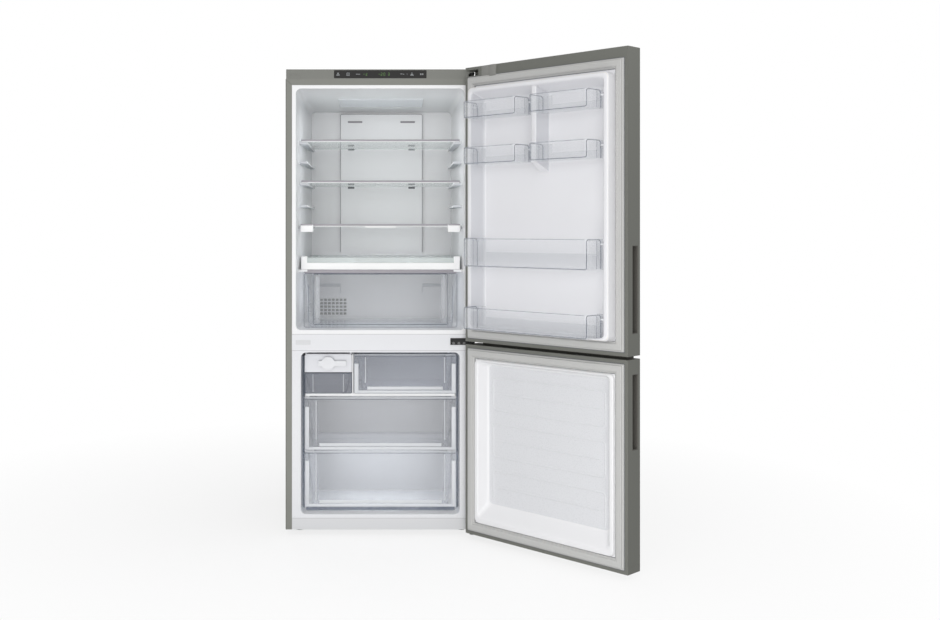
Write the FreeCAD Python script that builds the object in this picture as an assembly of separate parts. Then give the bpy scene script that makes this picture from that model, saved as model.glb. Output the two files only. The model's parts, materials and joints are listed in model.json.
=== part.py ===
import FreeCAD, Part
import math
import os

# Fridge freezer with the freezer below and both doors open.
# Millimetres. The origin is the middle of the cabinet's footprint on the floor,
# +X to the hinge side, +Y to the back and +Z up. Doors are drawn closed, then swung open.

V = FreeCAD.Vector
UP = V(0, 0, 1)
BACK = V(0, 1, 0)
ACROSS = V(1, 0, 0)

# Overall sizes
cabinet_width = 700.0
back_insulation = 105.0
cabinet_height = 1664.0
foot_height = 20.0
top_cover_height = 36.0

# Sheets, walls and clearances
shell_sheet = 1.0
shell_edge_radius = 4.0
pan_sheet = 1.5
liner_wall = 2.0
seat_gap = 0.3
pin_fit = 0.05
slide_gap = 1.5
cut_over = 5.0

# Front frame, heights from the floor up
side_band = 23.6
top_band = 22.0
kick_height = 42.0
sill_height = 14.0
freezer_opening_height = 598.0
freezer_top_flange = 7.0
beam_height = 60.0
fridge_bottom_flange = 16.0
fridge_top_flange = 13.0
fridge_side_flange = 15.0
freezer_side_flange = 33.0

# Liner tubs
liner_depth = 540.0
fridge_side_taper = 20.0
fridge_top_taper = 32.0
fridge_corner_radius = 18.0
freezer_side_taper = 14.0
freezer_top_taper = 10.0
freezer_corner_radius = 20.0

# Machine bay at the lower back, and the step that it makes in the freezer
bay_depth = 200.0
bay_height_share = 0.3846
bay_insulation = 50.0

# Top cover and control panel
top_cover_depth = 120.0
top_cover_inset = 2.0
top_cover_wall = 2.0
panel_width = 342.0
panel_height = 30.0
panel_thickness = 3.0
hole_cap_width = 42.0
hole_cap_height = 17.0
hole_cap_thickness = 2.0
beam_cap_width = 55.0

# Doors
door_gap = 12.0
door_thickness = 73.0
door_open_angle = 134.0
door_top_drop = 1.0
door_floor_gap = 19.0
door_split = 11.0
fridge_door_rise = 39.0
door_edge_radius = 6.0
door_return = 12.0
cap_height = 24.0
fridge_top_cap = 42.0
pin_from_edge = 13.0
pin_from_inner = 21.5

# Hinges
pin_radius = 5.0
pin_length = 22.0
arm_half_width = 9.0
arm_thickness = 4.0
top_arm_lift = 14.0
top_plate_width = 50.0
top_plate_depth = 80.0
top_plate_setback = 15.0
top_screw_shares = (0.4, 0.8)
notch_floor_lift = 3.0
notch_height = 22.0
notch_width = 62.0
notch_reach = 30.0
middle_flange_width = 78.0
middle_flange_height = 25.0
middle_flange_thickness = 3.0
middle_screw_shares = (0.15, 0.4, 0.65)
bottom_plate_drop = 4.0
bottom_plate_depth = 45.0
screw_radius = 2.5
screw_head_radius = 5.0
screw_head_height = 2.5

# Gaskets
gasket_inset = 14.0
fridge_gasket_top_inset = 43.0
gasket_width = 32.0
gasket_foot = 4.0
gasket_step = 4.5

# Door liners
fridge_dike_edge = 46.0
fridge_dike_height = 44.0
fridge_dike_side = 18.0
fridge_dike_top = 16.0
fridge_dike_bottom = 9.0
fridge_draft_side = 17.0
fridge_draft_top = 26.0
fridge_recess = 12.0
dike_margin = 11.0
freezer_dike_edge = 50.0
freezer_dike_height = 10.0
freezer_dike_side = 16.0
freezer_dike_top = 6.0
freezer_dike_bottom = 20.0
freezer_draft_side = 20.0
freezer_draft_top = 12.0
freezer_draft_bottom = 48.0
freezer_recess = 30.0
freezer_dike_gap = 3.0
dike_radius = 18.0
well_radius = 5.0
fin_front_width = 20.0
fin_base_width = 44.0
fin_height = 44.0
fin_lower_slope = 33.0
fin_share = 0.36

# Door handles
handle_width = 32.0
handle_from_inner = 25.0
handle_depth = 34.0
handle_wall = 2.0
fridge_handle_length = 285.0
fridge_handle_rise = 72.0
freezer_handle_length = 245.0
freezer_handle_drop = 48.0

# Door baskets: levels and heights as shares of the room inside the door liner
basket_wall = 2.5
basket_back = 12.0
basket_front = 108.0
basket_radius = 12.0
basket_side_gap = 18.0
basket_middle_gap = 57.0
basket_ledge = 4.5
basket_ledge_height = 6.0
basket_ledge_drop = 8.0
basket_lug_height = 10.0
basket_lug_start = 20.0
basket_lug_end = 45.0
basket_back_end = 28.0
basket_back_share = 0.5
half_basket_level_shares = (0.8819, 0.6892)
half_basket_share = 0.0710
full_basket_level_share = 0.2624
full_basket_share = 0.1172
low_basket_share = 0.0911

# Fridge shelves: levels as shares of the opening's height
shelf_level_shares = (0.787, 0.613, 0.428)
spare_rail_shares = (0.705, 0.520)
shelf_setback = 100.0
shelf_back_gap = 40.0
shelf_thickness = 4.0
shelf_nosing_height = 9.0
shelf_nosing_depth = 8.0
shelf_side_gap = 7.0
rail_height = 8.0
rail_reach = 16.0
drawer_rail_reach = 34.0
rail_end_gap = 30.0
bracket_width = 47.0
bracket_height = 20.0
bracket_depth = 60.0

# Crisper
crisper_share = 0.230
crisper_back_gap = 65.0
crisper_wall = 3.0
crisper_side_gap = 21.0
crisper_radius = 14.0
crisper_front_thickness = 6.0
cover_bar_height = 26.0
cover_block_height = 50.0
cover_block_width = 23.0
cover_block_depth = 40.0
cover_bar_depth = 12.0
cover_glass_thickness = 4.0
cover_glass_strip = 20.0
cover_gap = 14.0

# Lamp and air duct of the fridge
lamp_width_share = 0.53
lamp_depth_shares = (0.398, 0.722)
lamp_thickness = 3.0
duct_width_share = 0.546
duct_thickness = 20.0
duct_top_share = 0.953
duct_bottom_share = 0.31
slot_depth = 8.0
slot_height = 8.0
long_slot = 61.0
short_slot = 28.0
slot_edge_gap = 30.0
slot_level_shares = (0.917, 0.807, 0.789, 0.627, 0.610)

# Freezer shelf, drawers and ice maker
freezer_setback = 46.0
freezer_shelf_share = 0.7176
freezer_shelf_height = 10.0
freezer_shelf_plate = 4.0
freezer_shelf_bar = 14.0
middle_level_share = 0.381
drawer_wall = 2.5
drawer_front = 6.0
drawer_radius = 12.0
drawer_front_side_gap = 3.0
drawer_side_gap = 9.0
drawer_tub_inset = 12.0
drawer_clearance = 8.0
drawer_draft = 18.0
upper_drawer_back_gap = 9.0
lower_drawer_back_gap = 14.0
ice_width = 176.0
ice_depth = 250.0
ice_housing_share = 0.431
ice_housing_wall = 2.5
ice_housing_radius = 8.0
ice_bin_share = 0.482
ice_gap = 8.0
tray_width = 54.0
tray_height = 24.0
tray_wall = 2.0
tray_end_gap = 6.0
tray_cells = 6
knob_radius = 25.0
knob_thickness = 10.0
knob_gap = 4.0
knob_bar_length = 67.0
knob_bar_tail = 37.0
knob_bar_height = 19.0
knob_shaft_radius = 6.0
knob_lift_share = 0.5

# Evaporator, fan and duct panel of the freezer
duct_panel_back_gap = 100.0
duct_panel_thickness = 6.0
evaporator_width_share = 0.763
evaporator_depth = 62.0
evaporator_height_share = 0.77
evaporator_lift_share = 0.085
fin_count = 24
fin_sheet = 1.2
tube_radius = 4.5
tube_level_shares = (0.17, 0.5, 0.83)
fan_radius = 52.0
fan_hub_radius = 16.0
fan_thickness = 22.0
fan_blades = 5
fan_blade_sheet = 2.0
fan_blade_share = 0.7
fan_blade_pitch = 25
fan_drop = 85.0
motor_radius = 22.0
motor_length = 40.0
shaft_radius = 3.0
grille_slots = 7
grille_slot_height = 7.0
grille_width_share = 0.52

# Compressor bay
compressor_radius = 78.0
compressor_height_share = 0.652
compressor_lift = 14.0
compressor_inset = 230.0
compressor_foot_radius = 11.0
compressor_plate = 3.0
drip_tray_height = 26.0
drip_tray_wall = 2.0
drip_tray_width = 230.0
drip_tray_depth = 150.0
inlet_inset = 110.0
inlet_radius = 12.0
inlet_bore = 4.5
inlet_length = 14.0

# Feet and rollers
foot_radius = 16.0
foot_disc = 9.0
foot_stem_radius = 5.0
foot_inset_x = 45.0
foot_inset_y = 85.0
roller_radius = 9.5
roller_width = 22.0
axle_radius = 3.0
roller_inset_x = 60.0
roller_inset_y = 60.0
ear_thickness = 4.0
ear_half_width = 8.0
ear_ground_gap = 3.0

# Places worked out from the sizes
side = cabinet_width / 2
cabinet_depth = liner_depth + back_insulation
front = -cabinet_depth / 2
back = cabinet_depth / 2
base = foot_height
top = base + cabinet_height
peak = top + top_cover_height
band_inner = side - side_band
kick_top = base + kick_height
freezer_floor = kick_top + sill_height
freezer_ceiling = freezer_floor + freezer_opening_height
beam_low = freezer_ceiling + freezer_top_flange
beam_high = beam_low + beam_height
fridge_floor = beam_high + fridge_bottom_flange
frame_top = top - top_band
fridge_ceiling = frame_top - fridge_top_flange
fridge_height = fridge_ceiling - fridge_floor
fridge_half = band_inner - fridge_side_flange
freezer_half = band_inner - freezer_side_flange
bay_front = back - bay_depth
bay_height = freezer_opening_height * bay_height_share
bay_top = base + bay_height
step_front = bay_front - bay_insulation
step_top = bay_top + bay_insulation
door_inner = front - door_gap
door_outer = door_inner - door_thickness
pin_x = side - pin_from_edge
pin_y = door_inner - pin_from_inner
fridge_dike_half_width = side - fridge_dike_edge
freezer_dike_half_width = side - freezer_dike_edge
fridge_door_low = beam_low + fridge_door_rise
fridge_door_high = peak - door_top_drop
freezer_door_low = door_floor_gap
freezer_door_high = fridge_door_low - door_split
fridge_door_height = fridge_door_high - fridge_door_low
gasket_thickness = door_gap - seat_gap
compressor_height = bay_height * compressor_height_share
lamp_half_width = fridge_half * lamp_width_share
duct_half_width = fridge_half * duct_width_share
evaporator_half_width = freezer_half * evaporator_width_share
grille_half_width = freezer_half * grille_width_share
crisper_depth = liner_depth - shelf_setback - crisper_back_gap
duct_panel_setback = liner_depth - duct_panel_back_gap
upper_drawer_depth = duct_panel_setback - freezer_setback - upper_drawer_back_gap
lower_drawer_depth = step_front - front - freezer_setback - lower_drawer_back_gap


def block(x0, x1, y0, y1, z0, z1):
    """A box between two corners."""
    return Part.makeBox(x1 - x0, y1 - y0, z1 - z0, V(x0, y0, z0))


def rod(radius, start, direction, length):
    """A round bar from a point along a direction."""
    return Part.makeCylinder(radius, length, start, direction)


def rounded_wire(u0, u1, v0, v1, radius, place):
    """A closed outline of a rectangle with round corners, laid out by place(u, v)."""
    k = radius * (1 - math.sqrt(0.5))
    r = radius
    runs = [((u0 + r, v0), (u1 - r, v0), (u1 - k, v0 + k), (u1, v0 + r)),
            ((u1, v0 + r), (u1, v1 - r), (u1 - k, v1 - k), (u1 - r, v1)),
            ((u1 - r, v1), (u0 + r, v1), (u0 + k, v1 - k), (u0, v1 - r)),
            ((u0, v1 - r), (u0, v0 + r), (u0 + k, v0 + k), (u0 + r, v0))]
    edges = []
    for start, end, middle, finish in runs:
        edges.append(Part.LineSegment(place(*start), place(*end)).toShape())
        edges.append(Part.Arc(place(*end), place(*middle), place(*finish)).toShape())
    return Part.Wire(edges)


def front_outline(x0, x1, z0, z1, radius, y):
    """A rounded outline that faces the front, at a depth."""
    return rounded_wire(x0, x1, z0, z1, radius, lambda u, v: V(u, y, v))


def front_prism(x0, x1, z0, z1, radius, y0, y1):
    """A rounded plate that faces the front."""
    return Part.Face(front_outline(x0, x1, z0, z1, radius, y0)).extrude(V(0, y1 - y0, 0))


def plan_prism(x0, x1, y0, y1, radius, z0, z1):
    """A rounded plate that lies flat."""
    wire = rounded_wire(x0, x1, y0, y1, radius, lambda u, v: V(u, v, z0))
    return Part.Face(wire).extrude(V(0, 0, z1 - z0))


def prism(points, direction):
    """A polygon drawn through points and pulled along a direction."""
    return Part.Face(Part.makePolygon(list(points) + [points[0]])).extrude(direction)


def merge(first, *others):
    """One solid from touching pieces."""
    return first.fuse(list(others)).removeSplitter()


def tub(half, low, high, depth, side_taper, top_taper, radius, grow):
    """A moulded tub that narrows to the back; grow thickens it outwards."""
    near = front_outline(-half - grow, half + grow, low - grow, high + grow, radius + grow, front)
    far_half = half - side_taper + grow
    far = front_outline(-far_half, far_half, low - grow, high - top_taper + grow,
                        radius + grow, front + depth + grow)
    return Part.makeLoft([near, far], True, True)


def fridge_tub(grow):
    return tub(fridge_half, fridge_floor, fridge_ceiling, liner_depth,
               fridge_side_taper, fridge_top_taper, fridge_corner_radius, grow)


def freezer_tub(grow):
    shape = tub(freezer_half, freezer_floor, freezer_ceiling, liner_depth,
                freezer_side_taper, freezer_top_taper, freezer_corner_radius, grow)
    step = block(-side, side, step_front + grow, back, base, step_top - grow)
    return shape.cut(step)


def wall_half(half, taper, setback):
    """Half the width inside a tub at a distance from its front."""
    return half - taper * setback / liner_depth


def both_sides(shape):
    return [shape, shape.mirror(V(0, 0, 0), ACROSS)]


def swing(shape):
    """Turn a piece of a door from closed to open."""
    opened = shape.copy()
    opened.rotate(V(pin_x, pin_y, 0), UP, door_open_angle)
    return opened


def save(name, shape):
    shape.exportStep("parts/" + name + ".step")


def level(share):
    """A height inside the fridge."""
    return fridge_floor + share * fridge_height


def cabinet_outline(offset, radius):
    """Plan of the cabinet with rounded front edges."""
    bend = radius * (1 - math.sqrt(0.5))
    x = side - offset
    y = front + offset
    points = [V(x, back, base), V(x, y + radius, base), V(x - bend, y + bend, base),
              V(x - radius, y, base), V(-x + radius, y, base), V(-x + bend, y + bend, base),
              V(-x, y + radius, base), V(-x, back, base)]
    edges = [Part.LineSegment(points[0], points[1]).toShape(),
             Part.Arc(points[1], points[2], points[3]).toShape(),
             Part.LineSegment(points[3], points[4]).toShape(),
             Part.Arc(points[4], points[5], points[6]).toShape(),
             Part.LineSegment(points[6], points[7]).toShape(),
             Part.LineSegment(points[7], points[0]).toShape()]
    return Part.Wire(edges)


def shell_inside():
    """The space inside the folded shell."""
    inner = Part.Face(cabinet_outline(shell_sheet, shell_edge_radius - shell_sheet))
    return inner.extrude(V(0, 0, cabinet_height - shell_sheet))


def make_shell():
    outer = Part.Face(cabinet_outline(0, shell_edge_radius)).extrude(V(0, 0, cabinet_height))
    inner = shell_inside()
    window = block(-band_inner, band_inner, front - cut_over, front + cut_over, base, frame_top)
    return outer.cut(inner).cut(window)


def side_rails(half, taper, underside, reach, start, end):
    """A pair of ribs on the side walls that carry a shelf."""
    low = underside - seat_gap - rail_height
    inner = wall_half(half, taper, end) - reach
    rib = block(inner, half + liner_wall, front + start, front + end, low, low + rail_height)
    return both_sides(rib)


def make_fridge_liner():
    flange = block(-band_inner, band_inner, front, front + liner_wall, beam_high, frame_top)
    inner = fridge_tub(0)
    rails = []
    end = liner_depth - rail_end_gap
    for share in shelf_level_shares + spare_rail_shares:
        rails += side_rails(fridge_half, fridge_side_taper, level(share), rail_reach, shelf_setback, end)
    rails += side_rails(fridge_half, fridge_side_taper, cover_low, rail_reach, shelf_setback, end)
    shell = merge(flange, fridge_tub(liner_wall)).cut(inner)
    return merge(shell, *[rib.common(inner) for rib in rails])


def make_freezer_liner():
    flange = block(-band_inner, band_inner, front, front + liner_wall, kick_top, beam_low)
    inner = freezer_tub(0)
    start = freezer_setback + drawer_front + freezer_shelf_bar
    end = duct_panel_setback - rail_end_gap
    middle_end = step_front - front - rail_end_gap
    ribs = side_rails(freezer_half, freezer_side_taper, freezer_shelf_low, rail_reach, start, end)
    ribs += side_rails(freezer_half, freezer_side_taper, middle_low, drawer_rail_reach, start, middle_end)
    hanger_start = front + ice_front + drawer_front
    for x in (ice_left, ice_right - rail_height):
        ribs.append(block(x, x + rail_height, hanger_start, front + ice_front + ice_depth,
                          ice_top, freezer_ceiling))
    shell = merge(flange, freezer_tub(liner_wall)).cut(inner)
    return merge(shell, *[rib.common(inner) for rib in ribs])


def make_base_pan():
    width = side - shell_sheet
    floor = block(-width, width, front + liner_wall, back, base, base + pan_sheet).common(shell_inside())
    riser = block(-width, width, bay_front - pan_sheet, bay_front, base, bay_top + pan_sheet)
    roof = block(-width, width, bay_front - pan_sheet, back, bay_top, bay_top + pan_sheet)
    ears = []
    for x in (axle_end - ear_thickness, roller_inner - ear_thickness - seat_gap):
        ear = block(x, x + ear_thickness, roller_y - ear_half_width, roller_y + ear_half_width,
                    ear_ground_gap, base)
        ears += both_sides(ear)
    pan = merge(floor, riser, roof, *ears)
    bore = rod(axle_radius + pin_fit, V(-side, roller_y, roller_radius), ACROSS, cabinet_width)
    return pan.cut(bore)


def make_foam():
    width = side - shell_sheet
    body = block(-width, width, front + liner_wall, back - shell_sheet, base + pan_sheet, top - shell_sheet)
    bay = block(-width, width, bay_front - pan_sheet, back, base, bay_top + pan_sheet)
    body = body.common(shell_inside())
    return body.cut(fridge_tub(liner_wall)).cut(freezer_tub(liner_wall)).cut(bay)


def make_top_cover():
    x = side - top_cover_inset
    depth = front + top_cover_depth
    outer = plan_prism(-x, x, front, depth, shell_edge_radius, top, peak)
    wall = top_cover_wall
    inner = block(-x + wall, x - wall, front + wall + panel_thickness, depth - wall, top, peak - wall)
    arm = block(pin_x - arm_half_width - slide_gap, side, front - cut_over, front + top_plate_setback,
                top, top + top_arm_lift + arm_thickness + slide_gap)
    shell = outer.cut(inner).cut(arm).cut(make_control_panel())
    return shell.cut(top_cap())


def panel_low():
    return top + (top_cover_height - panel_height) / 2


def make_control_panel():
    return front_prism(-panel_width / 2, panel_width / 2, panel_low(), panel_low() + panel_height,
                       panel_thickness, front, front + panel_thickness)


def top_cap():
    x = -side + side_band / 2 + top_cover_inset
    return front_prism(x, x + hole_cap_width, top, top + hole_cap_height, hole_cap_thickness,
                       front, front + hole_cap_thickness)


def beam_cap():
    x = -band_inner + liner_wall + side_band / 2
    low = beam_low + (beam_height - hole_cap_height) / 2
    return front_prism(x, x + beam_cap_width, low, low + hole_cap_height, hole_cap_thickness,
                       front, front + hole_cap_thickness)


def screw(place, direction, length):
    """A pan-head screw: its shank fills the plate and its head sits on it."""
    shank = rod(screw_radius, place, direction * -1, length)
    head = rod(screw_head_radius, place, direction, screw_head_height)
    return merge(shank, head)


def top_screws():
    rows = (front + top_plate_setback + top_plate_depth * share for share in top_screw_shares)
    x = pin_x + arm_half_width - top_plate_width / 2
    return [screw(V(x, y, top + arm_thickness), UP, arm_thickness) for y in rows]


def middle_screws():
    first = side - middle_flange_width - pin_from_edge
    columns = (first + middle_flange_width * share for share in middle_screw_shares)
    place = front - middle_flange_thickness
    height = middle_arm_low - middle_flange_height / 6
    return [screw(V(x, place, height), BACK * -1, middle_flange_thickness) for x in columns]


def hinge_arm(low, reach):
    """A flat arm from the cabinet to round the pin."""
    arm = block(pin_x - arm_half_width, pin_x + arm_half_width, pin_y, reach, low, low + arm_thickness)
    return merge(arm, rod(arm_half_width, V(pin_x, pin_y, low), UP, arm_thickness))


def make_top_hinge():
    x1 = pin_x + arm_half_width
    near = front + top_plate_setback
    plate = block(x1 - top_plate_width, x1, near, near + top_plate_depth, top, top + arm_thickness)
    riser = block(pin_x - arm_half_width, x1, near, near + arm_thickness, top, top_arm_low + arm_thickness)
    pin = rod(pin_radius, V(pin_x, pin_y, top_arm_low - pin_length), UP, pin_length)
    hinge = merge(plate, riser, hinge_arm(top_arm_low, near), pin)
    for item in top_screws():
        hinge = hinge.cut(item)
    return hinge


def make_middle_hinge():
    x0 = side - middle_flange_width - pin_from_edge
    low = middle_arm_low + (arm_thickness - middle_flange_height) / 2
    flange = block(x0, x0 + middle_flange_width, front - middle_flange_thickness, front,
                   low, low + middle_flange_height)
    pin = rod(pin_radius, V(pin_x, pin_y, middle_arm_low - pin_length), UP, pin_length * 2 + arm_thickness)
    hinge = merge(flange, hinge_arm(middle_arm_low, front - middle_flange_thickness), pin)
    for item in middle_screws():
        hinge = hinge.cut(item)
    return hinge


def make_bottom_hinge():
    low = base - bottom_plate_drop - arm_thickness
    reach = front + liner_wall + bottom_plate_depth
    spacer = block(pin_x - arm_half_width, pin_x + arm_half_width, front + liner_wall, reach,
                   low + arm_thickness, base)
    pin = rod(pin_radius, V(pin_x, pin_y, low), UP, arm_thickness + pin_length)
    return merge(hinge_arm(low, reach), spacer, pin)


def door_outline(offset, radius, z):
    """Plan of a door with rounded outer edges."""
    bend = radius * (1 - math.sqrt(0.5))
    x = side - offset
    y = door_outer + offset
    far = door_inner - offset
    points = [V(x, far, z), V(x, y + radius, z), V(x - bend, y + bend, z), V(x - radius, y, z),
              V(-x + radius, y, z), V(-x + bend, y + bend, z), V(-x, y + radius, z), V(-x, far, z)]
    edges = [Part.LineSegment(points[0], points[1]).toShape(),
             Part.Arc(points[1], points[2], points[3]).toShape(),
             Part.LineSegment(points[3], points[4]).toShape(),
             Part.Arc(points[4], points[5], points[6]).toShape(),
             Part.LineSegment(points[6], points[7]).toShape(),
             Part.LineSegment(points[7], points[0]).toShape()]
    return Part.Face(Part.Wire(edges))


def make_skin(low, high, top_cap, handle):
    height = high - low - cap_height - top_cap
    outer = door_outline(0, door_edge_radius, low + cap_height).extrude(V(0, 0, height))
    inner = door_outline(shell_sheet, door_edge_radius - shell_sheet, low + cap_height)
    inner = inner.extrude(V(0, 0, height))
    mouth = side - door_return
    window = block(-mouth, mouth, door_inner - liner_wall, door_inner + cut_over, low, high)
    return outer.cut(inner).cut(window).cut(handle)


def make_cap(low, holes):
    cap = door_outline(0, door_edge_radius, low).extrude(V(0, 0, cap_height))
    for hole in holes:
        cap = cap.cut(hole)
    return cap


def pin_bore(low, length):
    return rod(pin_radius + pin_fit, V(pin_x, pin_y, low), UP, length)


def boss():
    """The bush under the upper cap that takes the top pin."""
    reach = pin_from_edge - shell_sheet - seat_gap
    low = top_arm_low - pin_length - pin_from_edge / 2
    return block(pin_x - reach, pin_x + reach, pin_y - reach, pin_y + reach,
                 low, fridge_door_high - fridge_top_cap)


def make_fridge_top_cap():
    low = fridge_door_high - fridge_top_cap
    floor = top + notch_floor_lift
    notch = block(side - notch_width, side + cut_over, pin_y - notch_reach,
                  door_inner + cut_over, floor, floor + notch_height)
    cap = merge(door_outline(0, door_edge_radius, low).extrude(V(0, 0, fridge_top_cap)), boss())
    return cap.cut(notch).cut(pin_bore(top_arm_low - pin_length - pin_fit, pin_length * 2))


def make_gasket(low, high, top_inset):
    """A seal with a wide foot and a narrower lip."""
    x = side - gasket_inset
    rings = []
    for inset, thickness in ((0, gasket_foot), (gasket_step, gasket_thickness)):
        outer = block(-x + inset, x - inset, door_inner, door_inner + thickness,
                      low + gasket_inset + inset, high - top_inset - inset)
        edge = gasket_width - inset
        inner = block(-x + edge, x - edge, door_inner, door_inner + thickness,
                      low + gasket_inset + edge, high - top_inset - edge)
        rings.append(outer.cut(inner))
    return merge(*rings)


def make_well(half, low, high, drafts, floor, mouth, grow):
    """The room over a sunk panel, narrower at its floor; grow thickens it outwards."""
    side_draft, top_draft, bottom_draft = drafts
    radius = well_radius + grow
    floor_half = half - side_draft + grow
    near = front_outline(-floor_half, floor_half, low + bottom_draft - grow, high - top_draft + grow,
                         radius, floor - grow)
    far = front_outline(-half - grow, half + grow, low - grow, high + grow, radius, mouth)
    return Part.makeLoft([near, far], True, True)


def make_door_liner(low, high, half, z0, z1, height, well):
    """A door liner: flat edge, raised ring and a sunk panel; low and high bound its flat edge."""
    mouth = side - door_return
    wall = liner_wall
    room = make_well(*well, door_inner + height, 0)
    pan = make_well(*well, door_inner + height, wall)
    edge = block(-mouth, mouth, door_inner - wall, door_inner, low, high)
    ring = front_prism(-half, half, z0, z1, dike_radius, door_inner - wall, door_inner + height)
    hollow = front_prism(-half + wall, half - wall, z0 + wall, z1 - wall, dike_radius,
                         door_inner - wall, door_inner + height - wall).cut(pan)
    return merge(edge, ring, pan).cut(hollow).cut(room), hollow, pan


def make_fin():
    """The upright rib between the half baskets, drawn in below."""
    low = fridge_door_low + fridge_door_height * (1 - fin_share) - fin_lower_slope
    high = fridge_dike_high - fridge_dike_top
    near = door_inner - fridge_recess
    far = door_inner + fin_height
    a = fin_base_width / 2
    b = fin_front_width / 2
    body = prism([V(-a, near, low), V(a, near, low), V(b, far, low), V(-b, far, low)], V(0, 0, high - low))
    under = prism([V(-side, near, low), V(-side, far, low), V(-side, far, low + fin_lower_slope)],
                  V(cabinet_width, 0, 0))
    return body.cut(under)


def handle_cup(z0, z1):
    y0 = door_inner - handle_from_inner - handle_width
    return block(-side, -side + handle_depth, y0, y0 + handle_width, z0, z1)


def make_handle(z0, z1):
    wall = handle_wall
    y0 = door_inner - handle_from_inner - handle_width
    hollow = block(-side - cut_over, -side + handle_depth - wall, y0 + wall, y0 + handle_width - wall,
                   z0 + wall, z1 - wall)
    return handle_cup(z0, z1).cut(hollow)


def make_door_foam(low, high, top_cap, hollow, pan, cuts):
    width = side - shell_sheet
    body = block(-width, width, door_outer + door_edge_radius, door_inner - liner_wall,
                 low + cap_height, high - top_cap)
    body = merge(body, hollow).cut(pan)
    for item in cuts:
        body = body.cut(item)
    return body


def basket_rows():
    """Name, ends, bottom and height of every door basket."""
    outer = fridge_dike_half_width - fridge_dike_side - basket_side_gap
    inner = basket_middle_gap / 2
    floor = fridge_dike_low + fridge_dike_bottom
    room = fridge_dike_high - fridge_dike_top - floor
    rows = []
    for number, share in enumerate(half_basket_level_shares):
        z = floor + share * room
        rows.append(("upper" if number == 0 else "lower", inner, outer, z, half_basket_share * room))
        rows.append(("upper" if number == 0 else "lower", -outer, -inner, z, half_basket_share * room))
    z = floor + full_basket_level_share * room
    rows.append(("middle", -outer, outer, z, full_basket_share * room))
    rows.append(("bottom", -outer, outer, floor + seat_gap, low_basket_share * room))
    return rows


def basket_name(kind, x0, x1):
    if x0 < 0 < x1:
        return "basket_" + kind
    return "basket_" + kind + ("_hinge_side" if x0 > 0 else "_free_side")


def make_basket(x0, x1, z, height):
    y0 = door_inner + basket_back
    y1 = door_inner + basket_front
    wall = basket_wall
    outer = plan_prism(x0, x1, y0, y1, basket_radius, z, z + height)
    inner = plan_prism(x0 + wall, x1 - wall, y0 + wall, y1 - wall, basket_radius - wall,
                       z + wall, z + height)
    dip = block(x0 + basket_back_end, x1 - basket_back_end, y0 - cut_over, y0 + wall + cut_over,
                z + height * basket_back_share, z + height)
    ledge_low = z + height - basket_ledge_drop - basket_ledge_height
    ledges = []
    for edge, direction in ((x0, -1), (x1, 1)):
        tip = edge + direction * basket_ledge
        ledges.append(block(min(edge, tip), max(edge, tip), door_inner + basket_lug_start,
                            door_inner + basket_lug_end, ledge_low, ledge_low + basket_ledge_height))
    return merge(outer.cut(inner).cut(dip), *ledges)


def basket_lugs():
    """Pegs on the door liner under every basket's ledges."""
    lugs = []
    wall_x = fridge_dike_half_width
    for kind, x0, x1, z, height in basket_rows():
        high = z + height - basket_ledge_drop - basket_ledge_height - seat_gap
        for edge, direction in ((x0, -1), (x1, 1)):
            outward = abs(edge) > basket_middle_gap
            root = direction * wall_x if outward else 0
            tip = edge + direction * seat_gap
            lugs.append(block(min(root, tip), max(root, tip), door_inner + basket_lug_start,
                              door_inner + basket_lug_end, high - basket_lug_height, high))
    return lugs


def shelf_plan(start, end, z, thickness):
    """A shelf plate that follows the tapered side walls."""
    a = wall_half(fridge_half, fridge_side_taper, start) - shelf_side_gap
    b = wall_half(fridge_half, fridge_side_taper, end) - shelf_side_gap
    y0 = front + start
    y1 = front + end
    return prism([V(-a, y0, z), V(a, y0, z), V(b, y1, z), V(-b, y1, z)], V(0, 0, thickness))


def make_shelf(share):
    z = level(share)
    end = liner_depth - shelf_back_gap
    plate = shelf_plan(shelf_setback, end, z, shelf_thickness)
    nosing = shelf_plan(shelf_setback, shelf_setback + shelf_nosing_depth, z, shelf_nosing_height)
    return merge(plate, nosing)


def make_shelf_brackets():
    z = level(shelf_level_shares[2])
    half = wall_half(fridge_half, fridge_side_taper, shelf_setback) - shelf_side_gap
    y0 = front + shelf_setback - bracket_depth / 2
    bracket = block(half - bracket_width, half, y0, front + shelf_setback,
                    z - bracket_height, z + shelf_nosing_height)
    return Part.makeCompound(both_sides(bracket))


def make_cover_frame():
    half = wall_half(fridge_half, fridge_side_taper, shelf_setback) - shelf_side_gap
    y0 = front + shelf_setback
    bar = block(-half, half, y0, y0 + cover_bar_depth, cover_low, cover_low + cover_bar_height)
    ends = both_sides(block(half - cover_block_width, half, y0, y0 + cover_block_depth,
                            cover_low, cover_low + cover_block_height))
    tail = wall_half(fridge_half, fridge_side_taper, liner_depth - shelf_back_gap) - shelf_side_gap
    inner = tail - cover_block_width
    rails = both_sides(block(inner, tail, y0 + cover_bar_depth / 2, front + liner_depth - shelf_back_gap,
                             cover_low, cover_low + cover_bar_height))
    return merge(bar, *(ends + rails))


def make_cover_glass():
    half = wall_half(fridge_half, fridge_side_taper, shelf_setback) - shelf_side_gap - cover_block_width
    tail = wall_half(fridge_half, fridge_side_taper, liner_depth - shelf_back_gap) - shelf_side_gap
    y0 = front + shelf_setback
    low = cover_low + cover_bar_height
    y1 = front + liner_depth - shelf_back_gap
    high = low + cover_glass_strip
    strip = block(-half, half, y0, y0 + cover_bar_depth / 2, low, high)
    lip = block(-half, half, y0, y0 + cover_block_depth, high - cover_glass_thickness, high)
    plate = block(-tail, tail, y0 + cover_block_depth, y1, high - cover_glass_thickness, high)
    legs = both_sides(block(tail - cover_block_width, tail, y0 + cover_block_depth, y1, low,
                            high - cover_glass_thickness))
    return merge(strip, lip, plate, *legs)


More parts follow.
